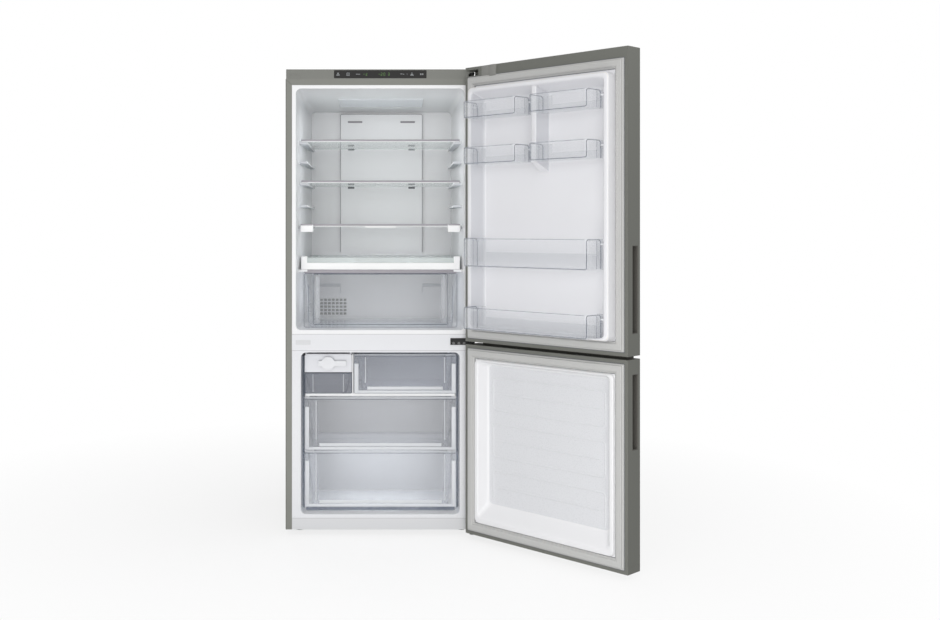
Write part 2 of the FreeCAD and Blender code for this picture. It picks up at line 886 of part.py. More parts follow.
def drafted_box(x0, x1, y0, y1, radius, z0, z1, draft):
    """A box whose sides lean out towards the top."""
    low = rounded_wire(x0 + draft, x1 - draft, y0, y1 - draft, radius, lambda u, v: V(u, v, z0))
    high = rounded_wire(x0, x1, y0, y1, radius, lambda u, v: V(u, v, z1))
    return Part.makeLoft([low, high], True, True)


def make_drawer(x0, x1, inset, z, tub_height, front_height, setback, depth, wall, radius, face, corner):
    """A see-through drawer: a tub behind a wider front."""
    y0 = front + setback
    tub_box = drafted_box(x0 + inset, x1 - inset, y0, y0 + depth, radius, z, z + tub_height, drawer_draft)
    hollow = drafted_box(x0 + inset + wall, x1 - inset - wall, y0 + face, y0 + depth - wall, radius - wall,
                         z + wall, z + tub_height, drawer_draft)
    panel = front_prism(x0, x1, z, z + front_height, corner, y0, y0 + face)
    return merge(tub_box.cut(hollow), panel)


def make_freezer_shelf():
    half = wall_half(freezer_half, freezer_side_taper, duct_panel_setback) - slide_gap
    y0 = front + freezer_setback + drawer_front + slide_gap
    y1 = front + duct_panel_setback - slide_gap
    low = freezer_shelf_low
    high = low + freezer_shelf_height
    plate = block(-half, half, y0, y1, high - freezer_shelf_plate, high)
    bar = block(-half, half, y0, y0 + freezer_shelf_bar, low, high)
    runners = both_sides(block(half - freezer_shelf_bar, half, y0, y1, low, high))
    return merge(plate, bar, *runners)


def make_ice_housing():
    y0 = front + ice_front
    y1 = y0 + ice_depth
    wall = ice_housing_wall
    low = ice_top - ice_housing_height
    radius = ice_housing_radius
    outer = front_prism(ice_left, ice_right, low - 2 * radius, ice_top, radius, y0, y1)
    inner = front_prism(ice_left + wall, ice_right - wall, low - 2 * radius, ice_top - wall, radius - wall,
                        y0 + wall, y1 - wall)
    below = block(ice_left, ice_right, y0, y1, low - 2 * radius, low)
    outer = outer.cut(below)
    bore = rod(knob_shaft_radius + pin_fit, V(tray_x, y0 - cut_over, tray_z), BACK,
               ice_depth + 2 * cut_over)
    return outer.cut(inner).cut(bore)


def make_ice_tray():
    """The twisting tray with its shaft ends, knob and lever."""
    y0 = front + ice_front
    half = tray_width / 2
    start = y0 + ice_housing_wall + tray_end_gap
    end = y0 + ice_depth - ice_housing_wall - tray_end_gap
    low = tray_z - tray_height / 2
    body = block(tray_x - half, tray_x + half, start, end, low, low + tray_height)
    pitch = (end - start - tray_wall) / tray_cells
    for row in range(2):
        x = tray_x - half + tray_wall + row * (half - tray_wall / 2)
        for cell in range(tray_cells):
            y = start + tray_wall + cell * pitch
            body = body.cut(block(x, x + half - tray_wall * 3 / 2, y, y + pitch - tray_wall,
                                  low + tray_wall, low + tray_height))
    knob_back = y0 - knob_gap
    shaft = rod(knob_shaft_radius, V(tray_x, knob_back, tray_z), BACK, start - knob_back)
    tail = rod(knob_shaft_radius, V(tray_x, end, tray_z), BACK, y0 + ice_depth - end)
    disc = rod(knob_radius, V(tray_x, knob_back, tray_z), BACK * -1, knob_thickness)
    bar = block(tray_x - knob_bar_tail, tray_x + knob_bar_length, knob_back - knob_thickness, knob_back,
                tray_z - knob_bar_height / 2, tray_z + knob_bar_height / 2)
    return merge(body, shaft, tail, disc, bar)


def make_duct_cover():
    y1 = front + liner_depth
    y0 = y1 - duct_thickness
    cover = front_prism(-duct_half_width, duct_half_width, level(duct_bottom_share), level(duct_top_share),
                        slot_depth, y0, y1)
    for number, share in enumerate(slot_level_shares):
        length = long_slot if number == 0 else short_slot
        x = duct_half_width - slot_edge_gap - length
        slot = front_prism(x, x + length, level(share) - slot_height / 2, level(share) + slot_height / 2,
                           slot_height / 3, y0 - cut_over, y0 + slot_depth)
        for piece in both_sides(slot):
            cover = cover.cut(piece)
    return cover


def make_lamp():
    def ceiling(setback):
        return fridge_ceiling - fridge_top_taper * setback / liner_depth
    lamp_start, lamp_end = (share * liner_depth for share in lamp_depth_shares)
    z0 = ceiling(lamp_start)
    z1 = ceiling(lamp_end)
    x = -lamp_half_width
    points = [V(x, front + lamp_start, z0), V(x, front + lamp_end, z1),
              V(x, front + lamp_end, z1 - lamp_thickness), V(x, front + lamp_start, z0 - lamp_thickness)]
    return prism(points, V(2 * lamp_half_width, 0, 0))


def make_freezer_duct_panel():
    half = wall_half(freezer_half, freezer_side_taper, duct_panel_setback) - slide_gap
    y0 = front + duct_panel_setback
    high = freezer_ceiling - freezer_top_taper - slide_gap
    panel = front_prism(-half, half, step_top, high, freezer_corner_radius, y0, y0 + duct_panel_thickness)
    pitch = 2 * fan_radius / grille_slots
    for number in range(grille_slots):
        z = fan_z - fan_radius + (number + 1 / 2) * pitch
        panel = panel.cut(front_prism(-grille_half_width, grille_half_width, z - grille_slot_height / 2,
                                      z + grille_slot_height / 2, grille_slot_height / 3,
                                      y0 - cut_over, y0 + duct_panel_thickness + cut_over))
    return panel


def make_evaporator():
    y1 = front + liner_depth
    y0 = y1 - evaporator_depth
    room = fan_z - fan_radius - step_top
    low = step_top + evaporator_lift_share * room
    evaporator_height = evaporator_height_share * room
    half = evaporator_half_width
    pitch = (2 * half - fin_sheet) / (fin_count - 1)
    pieces = []
    for number in range(fin_count):
        x = -half + number * pitch
        pieces.append(block(x, x + fin_sheet, y0, y1, low, low + evaporator_height))
    for share in tube_level_shares:
        z = low + share * evaporator_height
        pieces.append(rod(tube_radius, V(-half, (y0 + y1) / 2, z), ACROSS, 2 * half))
    return merge(*pieces)


def make_fan_motor():
    y1 = front + liner_depth
    body = rod(motor_radius, V(0, y1 - motor_length, fan_z), BACK, motor_length)
    shaft = rod(shaft_radius, V(0, y1 - motor_length - fan_thickness, fan_z), BACK, fan_thickness)
    return merge(body, shaft)


def make_fan():
    y0 = front + liner_depth - motor_length - fan_thickness - slide_gap
    hub = rod(fan_hub_radius, V(0, y0, fan_z), BACK, fan_thickness)
    middle = y0 + fan_thickness / 2
    reach = fan_hub_radius * fan_blade_share
    blades = []
    for number in range(fan_blades):
        blade = block(0, fan_radius, middle - fan_blade_sheet / 2, middle + fan_blade_sheet / 2,
                      fan_z - reach, fan_z + reach)
        blade.rotate(V(0, middle, fan_z), ACROSS, fan_blade_pitch)
        blade.rotate(V(0, y0, fan_z), BACK, number * 360 / fan_blades)
        blades.append(blade.common(rod(fan_radius, V(0, y0, fan_z), BACK, fan_thickness)))
    bore = rod(shaft_radius + pin_fit, V(0, y0, fan_z), BACK, fan_thickness)
    return merge(hub, *blades).cut(bore)


def make_compressor():
    y = (bay_front + back) / 2
    z = base + pan_sheet + compressor_lift
    r = compressor_radius
    x = side - compressor_inset
    dome = Part.makeSphere(r, V(x, y, 0))
    dome.translate(V(0, 0, z + compressor_height - r))
    pot = rod(r, V(x, y, z), UP, compressor_height - r).fuse(
        dome.common(rod(r, V(x, y, z + compressor_height - r), UP, r)))
    plate = block(x - r, x + r, y - r, y + r, z, z + compressor_plate)
    feet = []
    inset = r - compressor_foot_radius
    for dx in (-inset, inset):
        for dy in (-inset, inset):
            place = V(x + dx, y + dy, base + pan_sheet)
            feet.append(rod(compressor_foot_radius, place, UP, compressor_lift))
    return merge(pot, plate, *feet)


def make_drip_tray():
    y = (bay_front + back) / 2
    low = base + pan_sheet + compressor_lift + compressor_height
    x0 = side - compressor_inset - drip_tray_width / 2
    y0 = y - drip_tray_depth / 2
    wall = drip_tray_wall
    outer = plan_prism(x0, x0 + drip_tray_width, y0, y0 + drip_tray_depth, drip_tray_height / 2,
                       low, low + drip_tray_height)
    inner = plan_prism(x0 + wall, x0 + drip_tray_width - wall, y0 + wall, y0 + drip_tray_depth - wall,
                       drip_tray_height / 2 - wall, low + wall, low + drip_tray_height)
    return outer.cut(inner)


def make_feet():
    feet = []
    x = side - foot_inset_x
    y = front + foot_inset_y
    disc = rod(foot_radius, V(x, y, 0), UP, foot_disc)
    stem = rod(foot_stem_radius, V(x, y, foot_disc), UP, base - foot_disc)
    for foot in both_sides(merge(disc, stem)):
        feet.append(foot)
    return Part.makeCompound(feet)


def make_rollers():
    wheel = rod(roller_radius, V(roller_inner, roller_y, roller_radius), ACROSS, roller_width)
    axle = rod(axle_radius, V(-axle_end, roller_y, roller_radius), ACROSS, 2 * axle_end)
    return merge(axle, *both_sides(wheel))


def make_inlet():
    z = (base + bay_top) / 2
    start = V(inlet_inset - side, bay_front, z)
    return rod(inlet_radius, start, BACK, inlet_length).cut(rod(inlet_bore, start, BACK, inlet_length))


# Levels and places that several pieces share
top_arm_low = top + top_arm_lift
middle_arm_low = freezer_door_high + (door_split - arm_thickness) / 2
fridge_dike_low = fridge_floor + dike_margin
fridge_dike_high = fridge_ceiling - dike_margin
freezer_dike_low = freezer_door_low + gasket_inset + gasket_width + freezer_dike_gap
freezer_dike_high = freezer_door_high - gasket_inset - gasket_width - freezer_dike_gap
crisper_low = fridge_floor + seat_gap
crisper_height = crisper_share * fridge_height
cover_low = crisper_low + crisper_height + cover_gap
freezer_shelf_low = freezer_floor + freezer_shelf_share * freezer_opening_height
freezer_shelf_high = freezer_shelf_low + freezer_shelf_height
middle_low = freezer_floor + middle_level_share * freezer_opening_height
drawer_left = -wall_half(freezer_half, freezer_side_taper, freezer_setback) + drawer_side_gap
drawer_right = -drawer_left
ice_front = freezer_setback
ice_left = drawer_front_side_gap - wall_half(freezer_half, freezer_side_taper, freezer_setback + ice_depth)
ice_right = ice_left + ice_width
ice_bin_low = freezer_shelf_high + seat_gap
ice_bin_height = ice_bin_share * (freezer_ceiling - ice_bin_low)
ice_housing_height = ice_housing_share * (freezer_ceiling - ice_bin_low)
ice_top = ice_bin_low + ice_bin_height + drawer_front_side_gap + ice_housing_height
tray_x = (ice_left + ice_right) / 2
tray_z = ice_top - ice_housing_height * knob_lift_share
fan_z = freezer_ceiling - fan_drop
roller_y = back - roller_inset_y
roller_inner = side - roller_inset_x
axle_end = roller_inner + roller_width + seat_gap + ear_thickness

fridge_handle_low = fridge_door_low + fridge_handle_rise
fridge_handle_high = fridge_handle_low + fridge_handle_length
freezer_handle_high = freezer_door_high - freezer_handle_drop
freezer_handle_low = freezer_handle_high - freezer_handle_length

os.makedirs("parts", exist_ok=True)

# Cabinet
save("cabinet_shell", make_shell())
save("back_panel", block(-side + shell_sheet, side - shell_sheet, back - shell_sheet, back,
                         bay_top + pan_sheet, top - shell_sheet))
save("base_pan", make_base_pan())
save("cabinet_foam", make_foam())
save("fridge_liner", make_fridge_liner())
save("freezer_liner", make_freezer_liner())
beam = block(-band_inner, band_inner, front, front + liner_wall, beam_low, beam_high)
save("centre_beam_cover", beam.cut(beam_cap()))
save("kick_plate", block(-band_inner, band_inner, front, front + liner_wall, base, kick_top))
save("top_cover", make_top_cover())
save("control_panel", make_control_panel())
save("hinge_hole_caps", Part.makeCompound([top_cap(), beam_cap()]))
save("top_hinge", make_top_hinge())
save("middle_hinge", make_middle_hinge())
save("bottom_hinge", make_bottom_hinge())
save("hinge_screws", Part.makeCompound(top_screws() + middle_screws()))
save("front_feet", make_feet())
save("rear_rollers", make_rollers())
save("cord_inlet", make_inlet())

# Machine parts
save("compressor", make_compressor())
save("drip_tray", make_drip_tray())
save("evaporator", make_evaporator())
save("fan_motor", make_fan_motor())
save("fan_blade", make_fan())
save("freezer_duct_panel", make_freezer_duct_panel())

# Inside the fridge
save("fridge_duct_cover", make_duct_cover())
save("lamp_cover", make_lamp())
for number, share in enumerate(shelf_level_shares):
    save("shelf_" + str(number + 1), make_shelf(share))
save("shelf_3_brackets", make_shelf_brackets())
save("crisper_cover_frame", make_cover_frame())
save("crisper_cover_glass", make_cover_glass())
crisper_half = fridge_half - crisper_side_gap
save("crisper_drawer", make_drawer(-crisper_half, crisper_half, 0, crisper_low, crisper_height,
                                   crisper_height, shelf_setback, crisper_depth, crisper_wall,
                                   crisper_radius, crisper_front_thickness, crisper_radius))

# Inside the freezer
save("freezer_shelf", make_freezer_shelf())
save("ice_maker_housing", make_ice_housing())
save("ice_tray", make_ice_tray())
save("ice_bin", make_drawer(ice_left, ice_right, 0, ice_bin_low, ice_bin_height, ice_bin_height, ice_front,
                            ice_depth, drawer_wall, drawer_radius, drawer_front, drawer_front))
upper_height = ice_top - ice_bin_low
save("drawer_top", make_drawer(ice_right + ice_gap, drawer_right, drawer_tub_inset, ice_bin_low,
                               upper_height - drawer_clearance, upper_height, freezer_setback,
                               upper_drawer_depth, drawer_wall, drawer_radius, drawer_front, drawer_front))
middle_height = freezer_shelf_low - middle_low
save("drawer_middle", make_drawer(drawer_left, drawer_right, drawer_tub_inset, middle_low,
                                  middle_height - rail_height - drawer_clearance,
                                  middle_height - drawer_front_side_gap, freezer_setback,
                                  upper_drawer_depth, drawer_wall, drawer_radius, drawer_front, drawer_front))
bottom_low = freezer_floor + seat_gap
bottom_height = middle_low - bottom_low
save("drawer_bottom", make_drawer(drawer_left, drawer_right, drawer_tub_inset, bottom_low,
                                  bottom_height - rail_height - drawer_clearance,
                                  bottom_height - drawer_front_side_gap, freezer_setback,
                                  lower_drawer_depth, drawer_wall, drawer_radius, drawer_front,
                                  freezer_corner_radius - liner_wall))

# Fridge door
fridge_cup = handle_cup(fridge_handle_low, fridge_handle_high)
fridge_well = (fridge_dike_half_width - fridge_dike_side, fridge_dike_low + fridge_dike_bottom,
               fridge_dike_high - fridge_dike_top, (fridge_draft_side, fridge_draft_top, 0),
               door_inner - fridge_recess)
fridge_panel, fridge_hollow, fridge_pan = make_door_liner(
    fridge_door_low + cap_height, fridge_door_high - fridge_top_cap, fridge_dike_half_width,
    fridge_dike_low, fridge_dike_high, fridge_dike_height, fridge_well)
fridge_panel = merge(fridge_panel, *[item.common(fridge_pan) for item in [make_fin()] + basket_lugs()])
save("fridge_door_skin", swing(make_skin(fridge_door_low, fridge_door_high, fridge_top_cap, fridge_cup)))
save("fridge_door_top_cap", swing(make_fridge_top_cap()))
save("fridge_door_bottom_cap", swing(make_cap(fridge_door_low, [pin_bore(fridge_door_low, pin_length)])))
save("fridge_door_liner", swing(fridge_panel))
save("fridge_door_gasket", swing(make_gasket(fridge_door_low, fridge_door_high,
                                              fridge_gasket_top_inset)))
save("fridge_door_foam", swing(make_door_foam(fridge_door_low, fridge_door_high, fridge_top_cap,
                                              fridge_hollow, fridge_pan, [fridge_cup, boss()])))
save("fridge_door_handle", swing(make_handle(fridge_handle_low, fridge_handle_high)))
for kind, x0, x1, z, height in basket_rows():
    save(basket_name(kind, x0, x1), swing(make_basket(x0, x1, z, height)))

# Freezer door
freezer_cup = handle_cup(freezer_handle_low, freezer_handle_high)
freezer_well = (freezer_dike_half_width - freezer_dike_side, freezer_dike_low + freezer_dike_bottom,
                freezer_dike_high - freezer_dike_top,
                (freezer_draft_side, freezer_draft_top, freezer_draft_bottom), door_inner - freezer_recess)
freezer_panel, freezer_hollow, freezer_pan = make_door_liner(
    freezer_door_low + cap_height, freezer_door_high - cap_height, freezer_dike_half_width,
    freezer_dike_low, freezer_dike_high, freezer_dike_height, freezer_well)
save("freezer_door_skin", swing(make_skin(freezer_door_low, freezer_door_high, cap_height, freezer_cup)))
freezer_cap_low = freezer_door_high - cap_height
top_bore = pin_bore(freezer_door_high - pin_length, pin_length)
save("freezer_door_top_cap", swing(make_cap(freezer_cap_low, [top_bore])))
save("freezer_door_bottom_cap", swing(make_cap(freezer_door_low, [pin_bore(freezer_door_low, pin_length)])))
save("freezer_door_liner", swing(freezer_panel))
save("freezer_door_gasket", swing(make_gasket(freezer_door_low, freezer_door_high, gasket_inset)))
save("freezer_door_foam", swing(make_door_foam(freezer_door_low, freezer_door_high, cap_height,
                                               freezer_hollow, freezer_pan, [freezer_cup])))
save("freezer_door_handle", swing(make_handle(freezer_handle_low, freezer_handle_high)))
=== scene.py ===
"""Looks of a fridge freezer: steel doors that stand open, white liners, clear drawers and door baskets."""

import json
import math

import bmesh
import bpy
from bpy.props import FloatProperty, FloatVectorProperty, IntProperty, PointerProperty
from mathutils import Matrix, Vector

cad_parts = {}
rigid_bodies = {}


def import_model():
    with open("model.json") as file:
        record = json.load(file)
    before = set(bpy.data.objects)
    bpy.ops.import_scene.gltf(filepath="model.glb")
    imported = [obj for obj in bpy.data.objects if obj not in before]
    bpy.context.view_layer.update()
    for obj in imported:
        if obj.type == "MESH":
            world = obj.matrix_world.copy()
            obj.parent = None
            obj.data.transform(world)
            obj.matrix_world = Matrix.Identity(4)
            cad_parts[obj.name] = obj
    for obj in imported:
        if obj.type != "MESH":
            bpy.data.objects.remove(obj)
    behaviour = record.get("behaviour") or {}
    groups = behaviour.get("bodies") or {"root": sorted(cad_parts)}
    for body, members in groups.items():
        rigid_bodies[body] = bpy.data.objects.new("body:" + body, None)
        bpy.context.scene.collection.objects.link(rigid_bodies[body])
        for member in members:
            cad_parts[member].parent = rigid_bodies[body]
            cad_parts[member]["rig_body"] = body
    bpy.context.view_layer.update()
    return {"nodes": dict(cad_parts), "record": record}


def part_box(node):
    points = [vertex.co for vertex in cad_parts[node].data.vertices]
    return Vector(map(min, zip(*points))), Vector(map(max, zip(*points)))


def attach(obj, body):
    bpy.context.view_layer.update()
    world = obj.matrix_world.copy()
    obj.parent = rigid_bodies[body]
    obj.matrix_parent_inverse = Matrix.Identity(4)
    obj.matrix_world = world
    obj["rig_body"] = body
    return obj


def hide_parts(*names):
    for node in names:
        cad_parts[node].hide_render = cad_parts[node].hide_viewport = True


bl_info = {
    "name": "Fridge freezer looks",
    "version": (1, 0, 0),
    "blender": (4, 5, 0),
    "location": "View3D > Sidebar > Fridge",
    "description": "Dresses the fridge freezer's solids with rounded pieces, seals, trims and finishes",
    "category": "Object",
}

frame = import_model()
nodes = frame["nodes"]
SLOTS = {entry["node"]: entry["material_slot"] for entry in frame["record"]["subparts"]}

MM = 0.001
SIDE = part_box("cabinet_shell")[1].x
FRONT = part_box("fridge_liner")[0].y
BACK_WALL = FRONT + 0.540
DOOR_GAP = 0.012
DOOR_INNER = FRONT - DOOR_GAP
DOOR_ANGLE = math.radians(134)
PIN = Vector((0.337, DOOR_INNER - 0.0215, 0.0))
DOOR_TURN = Matrix.Translation(PIN) @ Matrix.Rotation(DOOR_ANGLE, 4, "Z") @ Matrix.Translation(-PIN)

# Doors, shut: bottom, top, and how far the seal stays below the top
DOORS = {"fridge_door": (0.720, 1.719, 0.037), "freezer_door": (0.019, 0.709, 0.014)}

# Door liners: half width, bottom and top of the plate; the same of the raised ring; the ring's width and its draft
# at the sides, the top and the bottom; the ring's height; and the depth of the sunk panel
DOOR_LINERS = {
    "fridge_door": ((0.338, 0.744, 1.677), (0.304, 0.768, 1.638), (0.018, 0.016, 0.009), (0.017, 0.026, 0.0),
                    0.044, 0.012),
    "freezer_door": ((0.338, 0.043, 0.685), (0.300, 0.068, 0.660), (0.016, 0.006, 0.020), (0.020, 0.012, 0.048),
                     0.010, 0.030),
}

# Door baskets with the door shut: both ends, underside and height
BASKETS = (("basket_upper_hinge_side", 0.0285, 0.268, 1.5222, 0.060),
           ("basket_upper_free_side", -0.268, -0.0285, 1.5222, 0.060),
           ("basket_lower_hinge_side", 0.0285, 0.268, 1.3594, 0.060),
           ("basket_lower_free_side", -0.268, -0.0285, 1.3594, 0.060),
           ("basket_middle", -0.268, 0.268, 0.9987, 0.099),
           ("basket_bottom", -0.268, 0.268, 0.7773, 0.077))

# A seal's outline in millimetres: distance from its outer edge, and height over the door
SEAL_PROFILE = ((0, 0), (0, 3), (1, 4), (4, 4), (5, 5.5), (4.8, 9.8), (6.5, 11.5), (10, 11.7), (12.5, 10.8), (15, 11.7),
                (22, 11.7), (24.5, 10.8), (26.5, 9.5), (27.2, 6), (28.5, 4.2), (31, 4), (32, 3), (32, 0))

# Marks of the control strip: centre across, then bars (across, up, width, height) in millimetres
ICONS = (
    (-156, ((0, -3, 12, 4), (0, 3, 6, 5))),
    (-119, ((0, 4.5, 12, 2), (0, -4.5, 12, 2), (-5, 0, 2, 9), (5, 0, 2, 9), (0, 0, 12, 1.6))),
    (-82, ((-6, 0, 3, 3), (0, 0, 6, 2.5), (6, 0, 3, 3))),
    (82, ((-4, 1, 7, 3), (4, 0, 5, 2.5))),
    (99, ((0, 0, 1, 7),)),
    (117, ((0, -3.5, 13, 3), (0, 0, 8, 3), (0, 4.5, 3, 3))),
    (153, ((-3.5, 0, 5, 6), (3.5, 0, 5, 6))),
)
SEGMENTS = {"a": (0, 5, 4.4, 1.2), "b": (2.6, 2.5, 1.2, 4.4), "c": (2.6, -2.5, 1.2, 4.4), "d": (0, -5, 4.4, 1.2),
            "e": (-2.6, -2.5, 1.2, 4.4), "f": (-2.6, 2.5, 1.2, 4.4), "g": (0, 0, 4.4, 1.2)}
DIGITS = ((-60, "g"), (-52, "dbcg"), (-4, "g"), (5, "abged"), (15, "abcdef"), (31, "abgcd"))

# Slots in the duct cover, their depth drawn as painted shade: name, distance from the middle, height of the first,
# rows, step, width and look
AIR_SLOTS = (("long", 0.1095, 1.575, 1, 0.0, 0.060, "shelf_trim"),
             ("upper", 0.126, 1.4768, 2, -0.016, 0.027, "shade"),
             ("lower", 0.126, 1.3163, 2, -0.0152, 0.027, "shade"))

# Lights outside: place, target, size and share of the front light
STAGE_LIGHTS = (("front_light", (-0.65, -4.7, 1.5), (0.0, 0.0, 0.95), (4.6, 2.2), 1.0),
                ("upper_light", (0.4, -2.4, 3.6), (0.2, 0.0, 0.8), (2.0, 2.0), 0.2),
                ("low_light", (-0.1, -2.1, 0.04), (-0.1, 0.1, 1.5), (1.8, 0.9), 0.13),
                ("side_light", (3.0, -1.5, 2.6), (0.8, -0.8, 0.9), (1.6, 1.6), 0.16),
                ("back_light", (-1.6, 4.2, 2.4), (0.0, 0.3, 0.8), (2.6, 2.0), 0.5))

# Lights under the ceilings of the rooms: place, width and share of the inside light
CEILING_LIGHTS = (("fridge_light", (0.0, -0.18, 1.6), 0.4, 0.72), ("crisper_light", (0.0, -0.1, 0.985), 0.4, 0.95),
                  ("ice_light", (0.1, -0.1, 0.662), 0.3, 0.5), ("drawer_light", (0.0, -0.1, 0.5), 0.4, 0.7),
                  ("low_drawer_light", (0.0, -0.1, 0.298), 0.4, 1.4))
ROOM_TINT = (0.93, 0.965, 1.0)

# Colours that several finishes share, and surfaces: spread of roughness and of colour, fineness and bump
LINER, IRON, ZINC, RIM_AND_SHEEN = (239, 240, 244), (40, 40, 40), (196, 198, 200), (229, 231, 235)
MOULDED, PLAIN, CLEAR = (0.08, 0.02, 300, 0.015), (0.08, 0.02, 300, 0.02), (0.04, 0.02, 200, 0.01)

# Finishes: material, colour, roughness, surface, and what else differs
FINISHES = {
    "steel": ("brushed_steel", (127, 128, 122), 0.5, (0.16, 0.05, 90, 0.05),
              {"metallic": 0.35, "grain": (9.0, 9.0, 0.08)}),
    "grey_plastic": ("grey_moulding", (120, 121, 115), 0.42, (0.1, 0.04, 700, 0.04)),
    "cap": ("cap_moulding", (142, 142, 138), 0.4, (0.1, 0.04, 700, 0.04)),
    "galvanised": ("zinc_sheet", ZINC, 0.45, (0.25, 0.12, 40, 0.02), {"metallic": 0.6}),
    "white_liner": ("white_liner", LINER, 0.26, MOULDED, {"coat": 0.2}),
    "door_liner": ("white_door_liner", (240, 240, 243), 0.3, PLAIN, {"coat": 0.15}),
    "white_trim": ("white_trim", LINER, 0.24, (0.06, 0.015, 500, 0.01), {"coat": 0.25}),
    "lamp": ("milky_lens", LINER, 0.35, (0.05, 0.01, 300, 0.02)),
    "clear": ("clear_plastic", (232, 235, 240), 0.12, CLEAR, {"see": (0.07, 0.45)}),
    "beam": ("beam_white", (227, 228, 231), 0.3, MOULDED, {"coat": 0.15}),
    "kick": ("kick_white", (214, 215, 217), 0.32, MOULDED, {"coat": 0.1}),
    "freezer_liner": ("freezer_white", (226, 227, 230), 0.28, MOULDED, {"coat": 0.15}),
    # A greyer copy of the liner's white: painted shade on the shelf rails and on the steps in the back wall
    "ledge": ("ledge_white", (206, 208, 212), 0.4, MOULDED),
    "hinge_black": ("hinge_black", IRON, 0.5, (0.2, 0.3, 160, 0.15), {"shine": 0.2}),
    # A greyer copy of the door liner's white: painted shade on the fin's sides and on the hinge-side wall of the door's
    # well
    "rib": ("rib_side", (215, 216, 220), 0.32, PLAIN, {"coat": 0.1}),
    "milky": ("milky_drawer", (188, 192, 201), 0.16, CLEAR, {"see": (0.32, 0.6)}),
    "housing": ("housing_white", (224, 225, 229), 0.3, MOULDED, {"coat": 0.1}),
    "drawer_clear": ("drawer_clear", (223, 225, 230), 0.14, CLEAR, {"see": (0.12, 0.5)}),
    "smoke": ("smoke_clear", (178, 182, 192), 0.16, (0.04, 0.03, 200, 0.01), {"see": (0.3, 0.62)}),
    "rim": ("drawer_rim", RIM_AND_SHEEN, 0.2, (0.05, 0.02, 300, 0.01), {"see": (0.85, 0.97)}),
    # Light translucent strips: painted sheen
    "sheen": ("clear_rib", RIM_AND_SHEEN, 0.2, (0.05, 0.02, 300, 0.01), {"see": (0.3, 0.5)}),
    # A dark clear edge for baskets, drawers and the ice bin, also painted shade in the drawers' gaps, under the bottom
    # drawer and under the rims
    "bead": ("thick_clear_edge", (112, 122, 140), 0.15, (0.04, 0.04, 200, 0.01), {"see": (0.5, 0.8)}),
    "shelf_glass": ("shelf_glass", (228, 234, 234), 0.06, (0.02, 0.02, 60, 0.004), {"see": (0.07, 0.4)}),
    # A grey for the shelves' trims, outlines and joint lines, also used as painted shade in the long slots and over the
    # crisper
    "shelf_trim": ("shelf_trim", (160, 156, 162), 0.35, (0.08, 0.04, 400, 0.01)),
    "dark_plastic": ("dark_gloss", (38, 37, 36), 0.45, (0.08, 0.05, 500, 0.01), {"shine": 0.25}),
    # Dark grey of the grips and joint lines, also painted shade in the grille holes and along the freezer door's top
    "grip": ("grip_plastic", (98, 96, 91), 0.5, (0.1, 0.05, 500, 0.05)),
    "dark_metal": ("dark_metal", IRON, 0.4, (0.15, 0.1, 300, 0.03), {"metallic": 0.2}),
    "fin_metal": ("fin_metal", ZINC, 0.35, (0.15, 0.06, 200, 0.02), {"metallic": 0.9}),
    "seal": ("soft_seal", (196, 196, 194), 0.55, (0.1, 0.03, 800, 0.03)),
    "foam": ("hard_foam", (232, 220, 180), 0.8, (0.1, 0.1, 250, 0.3)),
    "shade": ("slot_shade", (112, 114, 118), 0.6, (0.1, 0.08, 300, 0.02)),
    "mark": ("lit_mark", (132, 135, 137), 0.4, (0.02, 0.05, 900, 0.01), {"glow": 0.02}),
    "green": ("green_lamp", (88, 132, 62), 0.4, (0.02, 0.05, 900, 0.01), {"glow": 0.06}),
}
WHITE = (1.0, 1.0, 1.0, 1.0)
NO_STRETCH = (1.0, 1.0, 1.0)


# Settings

def tone(*levels):
    """A colour of 0 to 255 as Blender's linear one."""
    shares = (level / 255 for level in levels)
    return tuple(s / 12.92 if s <= 0.04045 else ((s + 0.055) / 1.055) ** 2.4 for s in shares)


def number(name, default, description, unit="NONE"):
    return FloatProperty(name=name, description=description, default=default, min=0.0, unit=unit)


def length(name, default, description):
    return number(name, default, description, "LENGTH")


def colour(look, material, levels):
    return FloatVectorProperty(name=look.replace("_", " ").capitalize(), default=tone(*levels), subtype="COLOR",
                               description="Colour of the finish " + material.replace("_", " "),
                               size=3, min=0.0, max=1.0)


class FridgeFinishes(bpy.types.PropertyGroup):
    """Colours of the finishes."""
    __annotations__ = {look: colour(look, *row[:2]) for look, row in FINISHES.items()}


class FridgeSizes(bpy.types.PropertyGroup):
    """Sizes of the details."""
    edge: length("Moulded edge", 0.002, "Rounding of moulded edges")
    fine_edge: length("Fine edge", 0.001, "Rounding of thin walls")
    thin_edge: length("Thin edge", 0.0006, "Rounding of glass, hinges and small plates")
    dike_edge: length("Door liner edge", 0.007, "Rounding of the raised ring of a door's liner")
    panel_count: IntProperty(name="Raised panels", description="Outlined panels on the freezer door's liner",
                             default=3, min=1)
    panel_pitch: length("Panel pitch", 0.168, "Distance between the outlined panels")
    panel_width: length("Panel width", 0.484, "Width of an outlined panel")
    panel_height: length("Panel height", 0.118, "Height of an outlined panel")
    panel_bead: length("Panel bead", 0.0038, "Radius of the bead round an outlined panel")
    basket_bead: length("Basket edge", 0.0014, "Radius of the baskets' thick edges")
    basket_bend: length("Basket bend", 0.013, "Radius where a basket's edge bends")
    grille_hole: length("Grille hole", 0.0096, "Height of a hole of the return grille")
    line: length("Drawer lines", 0.0011, "Radius of the beads on the drawers' fronts")
    strip_width: length("Drawer strip", 0.0155, "Width of the white strips on the freezer drawers")


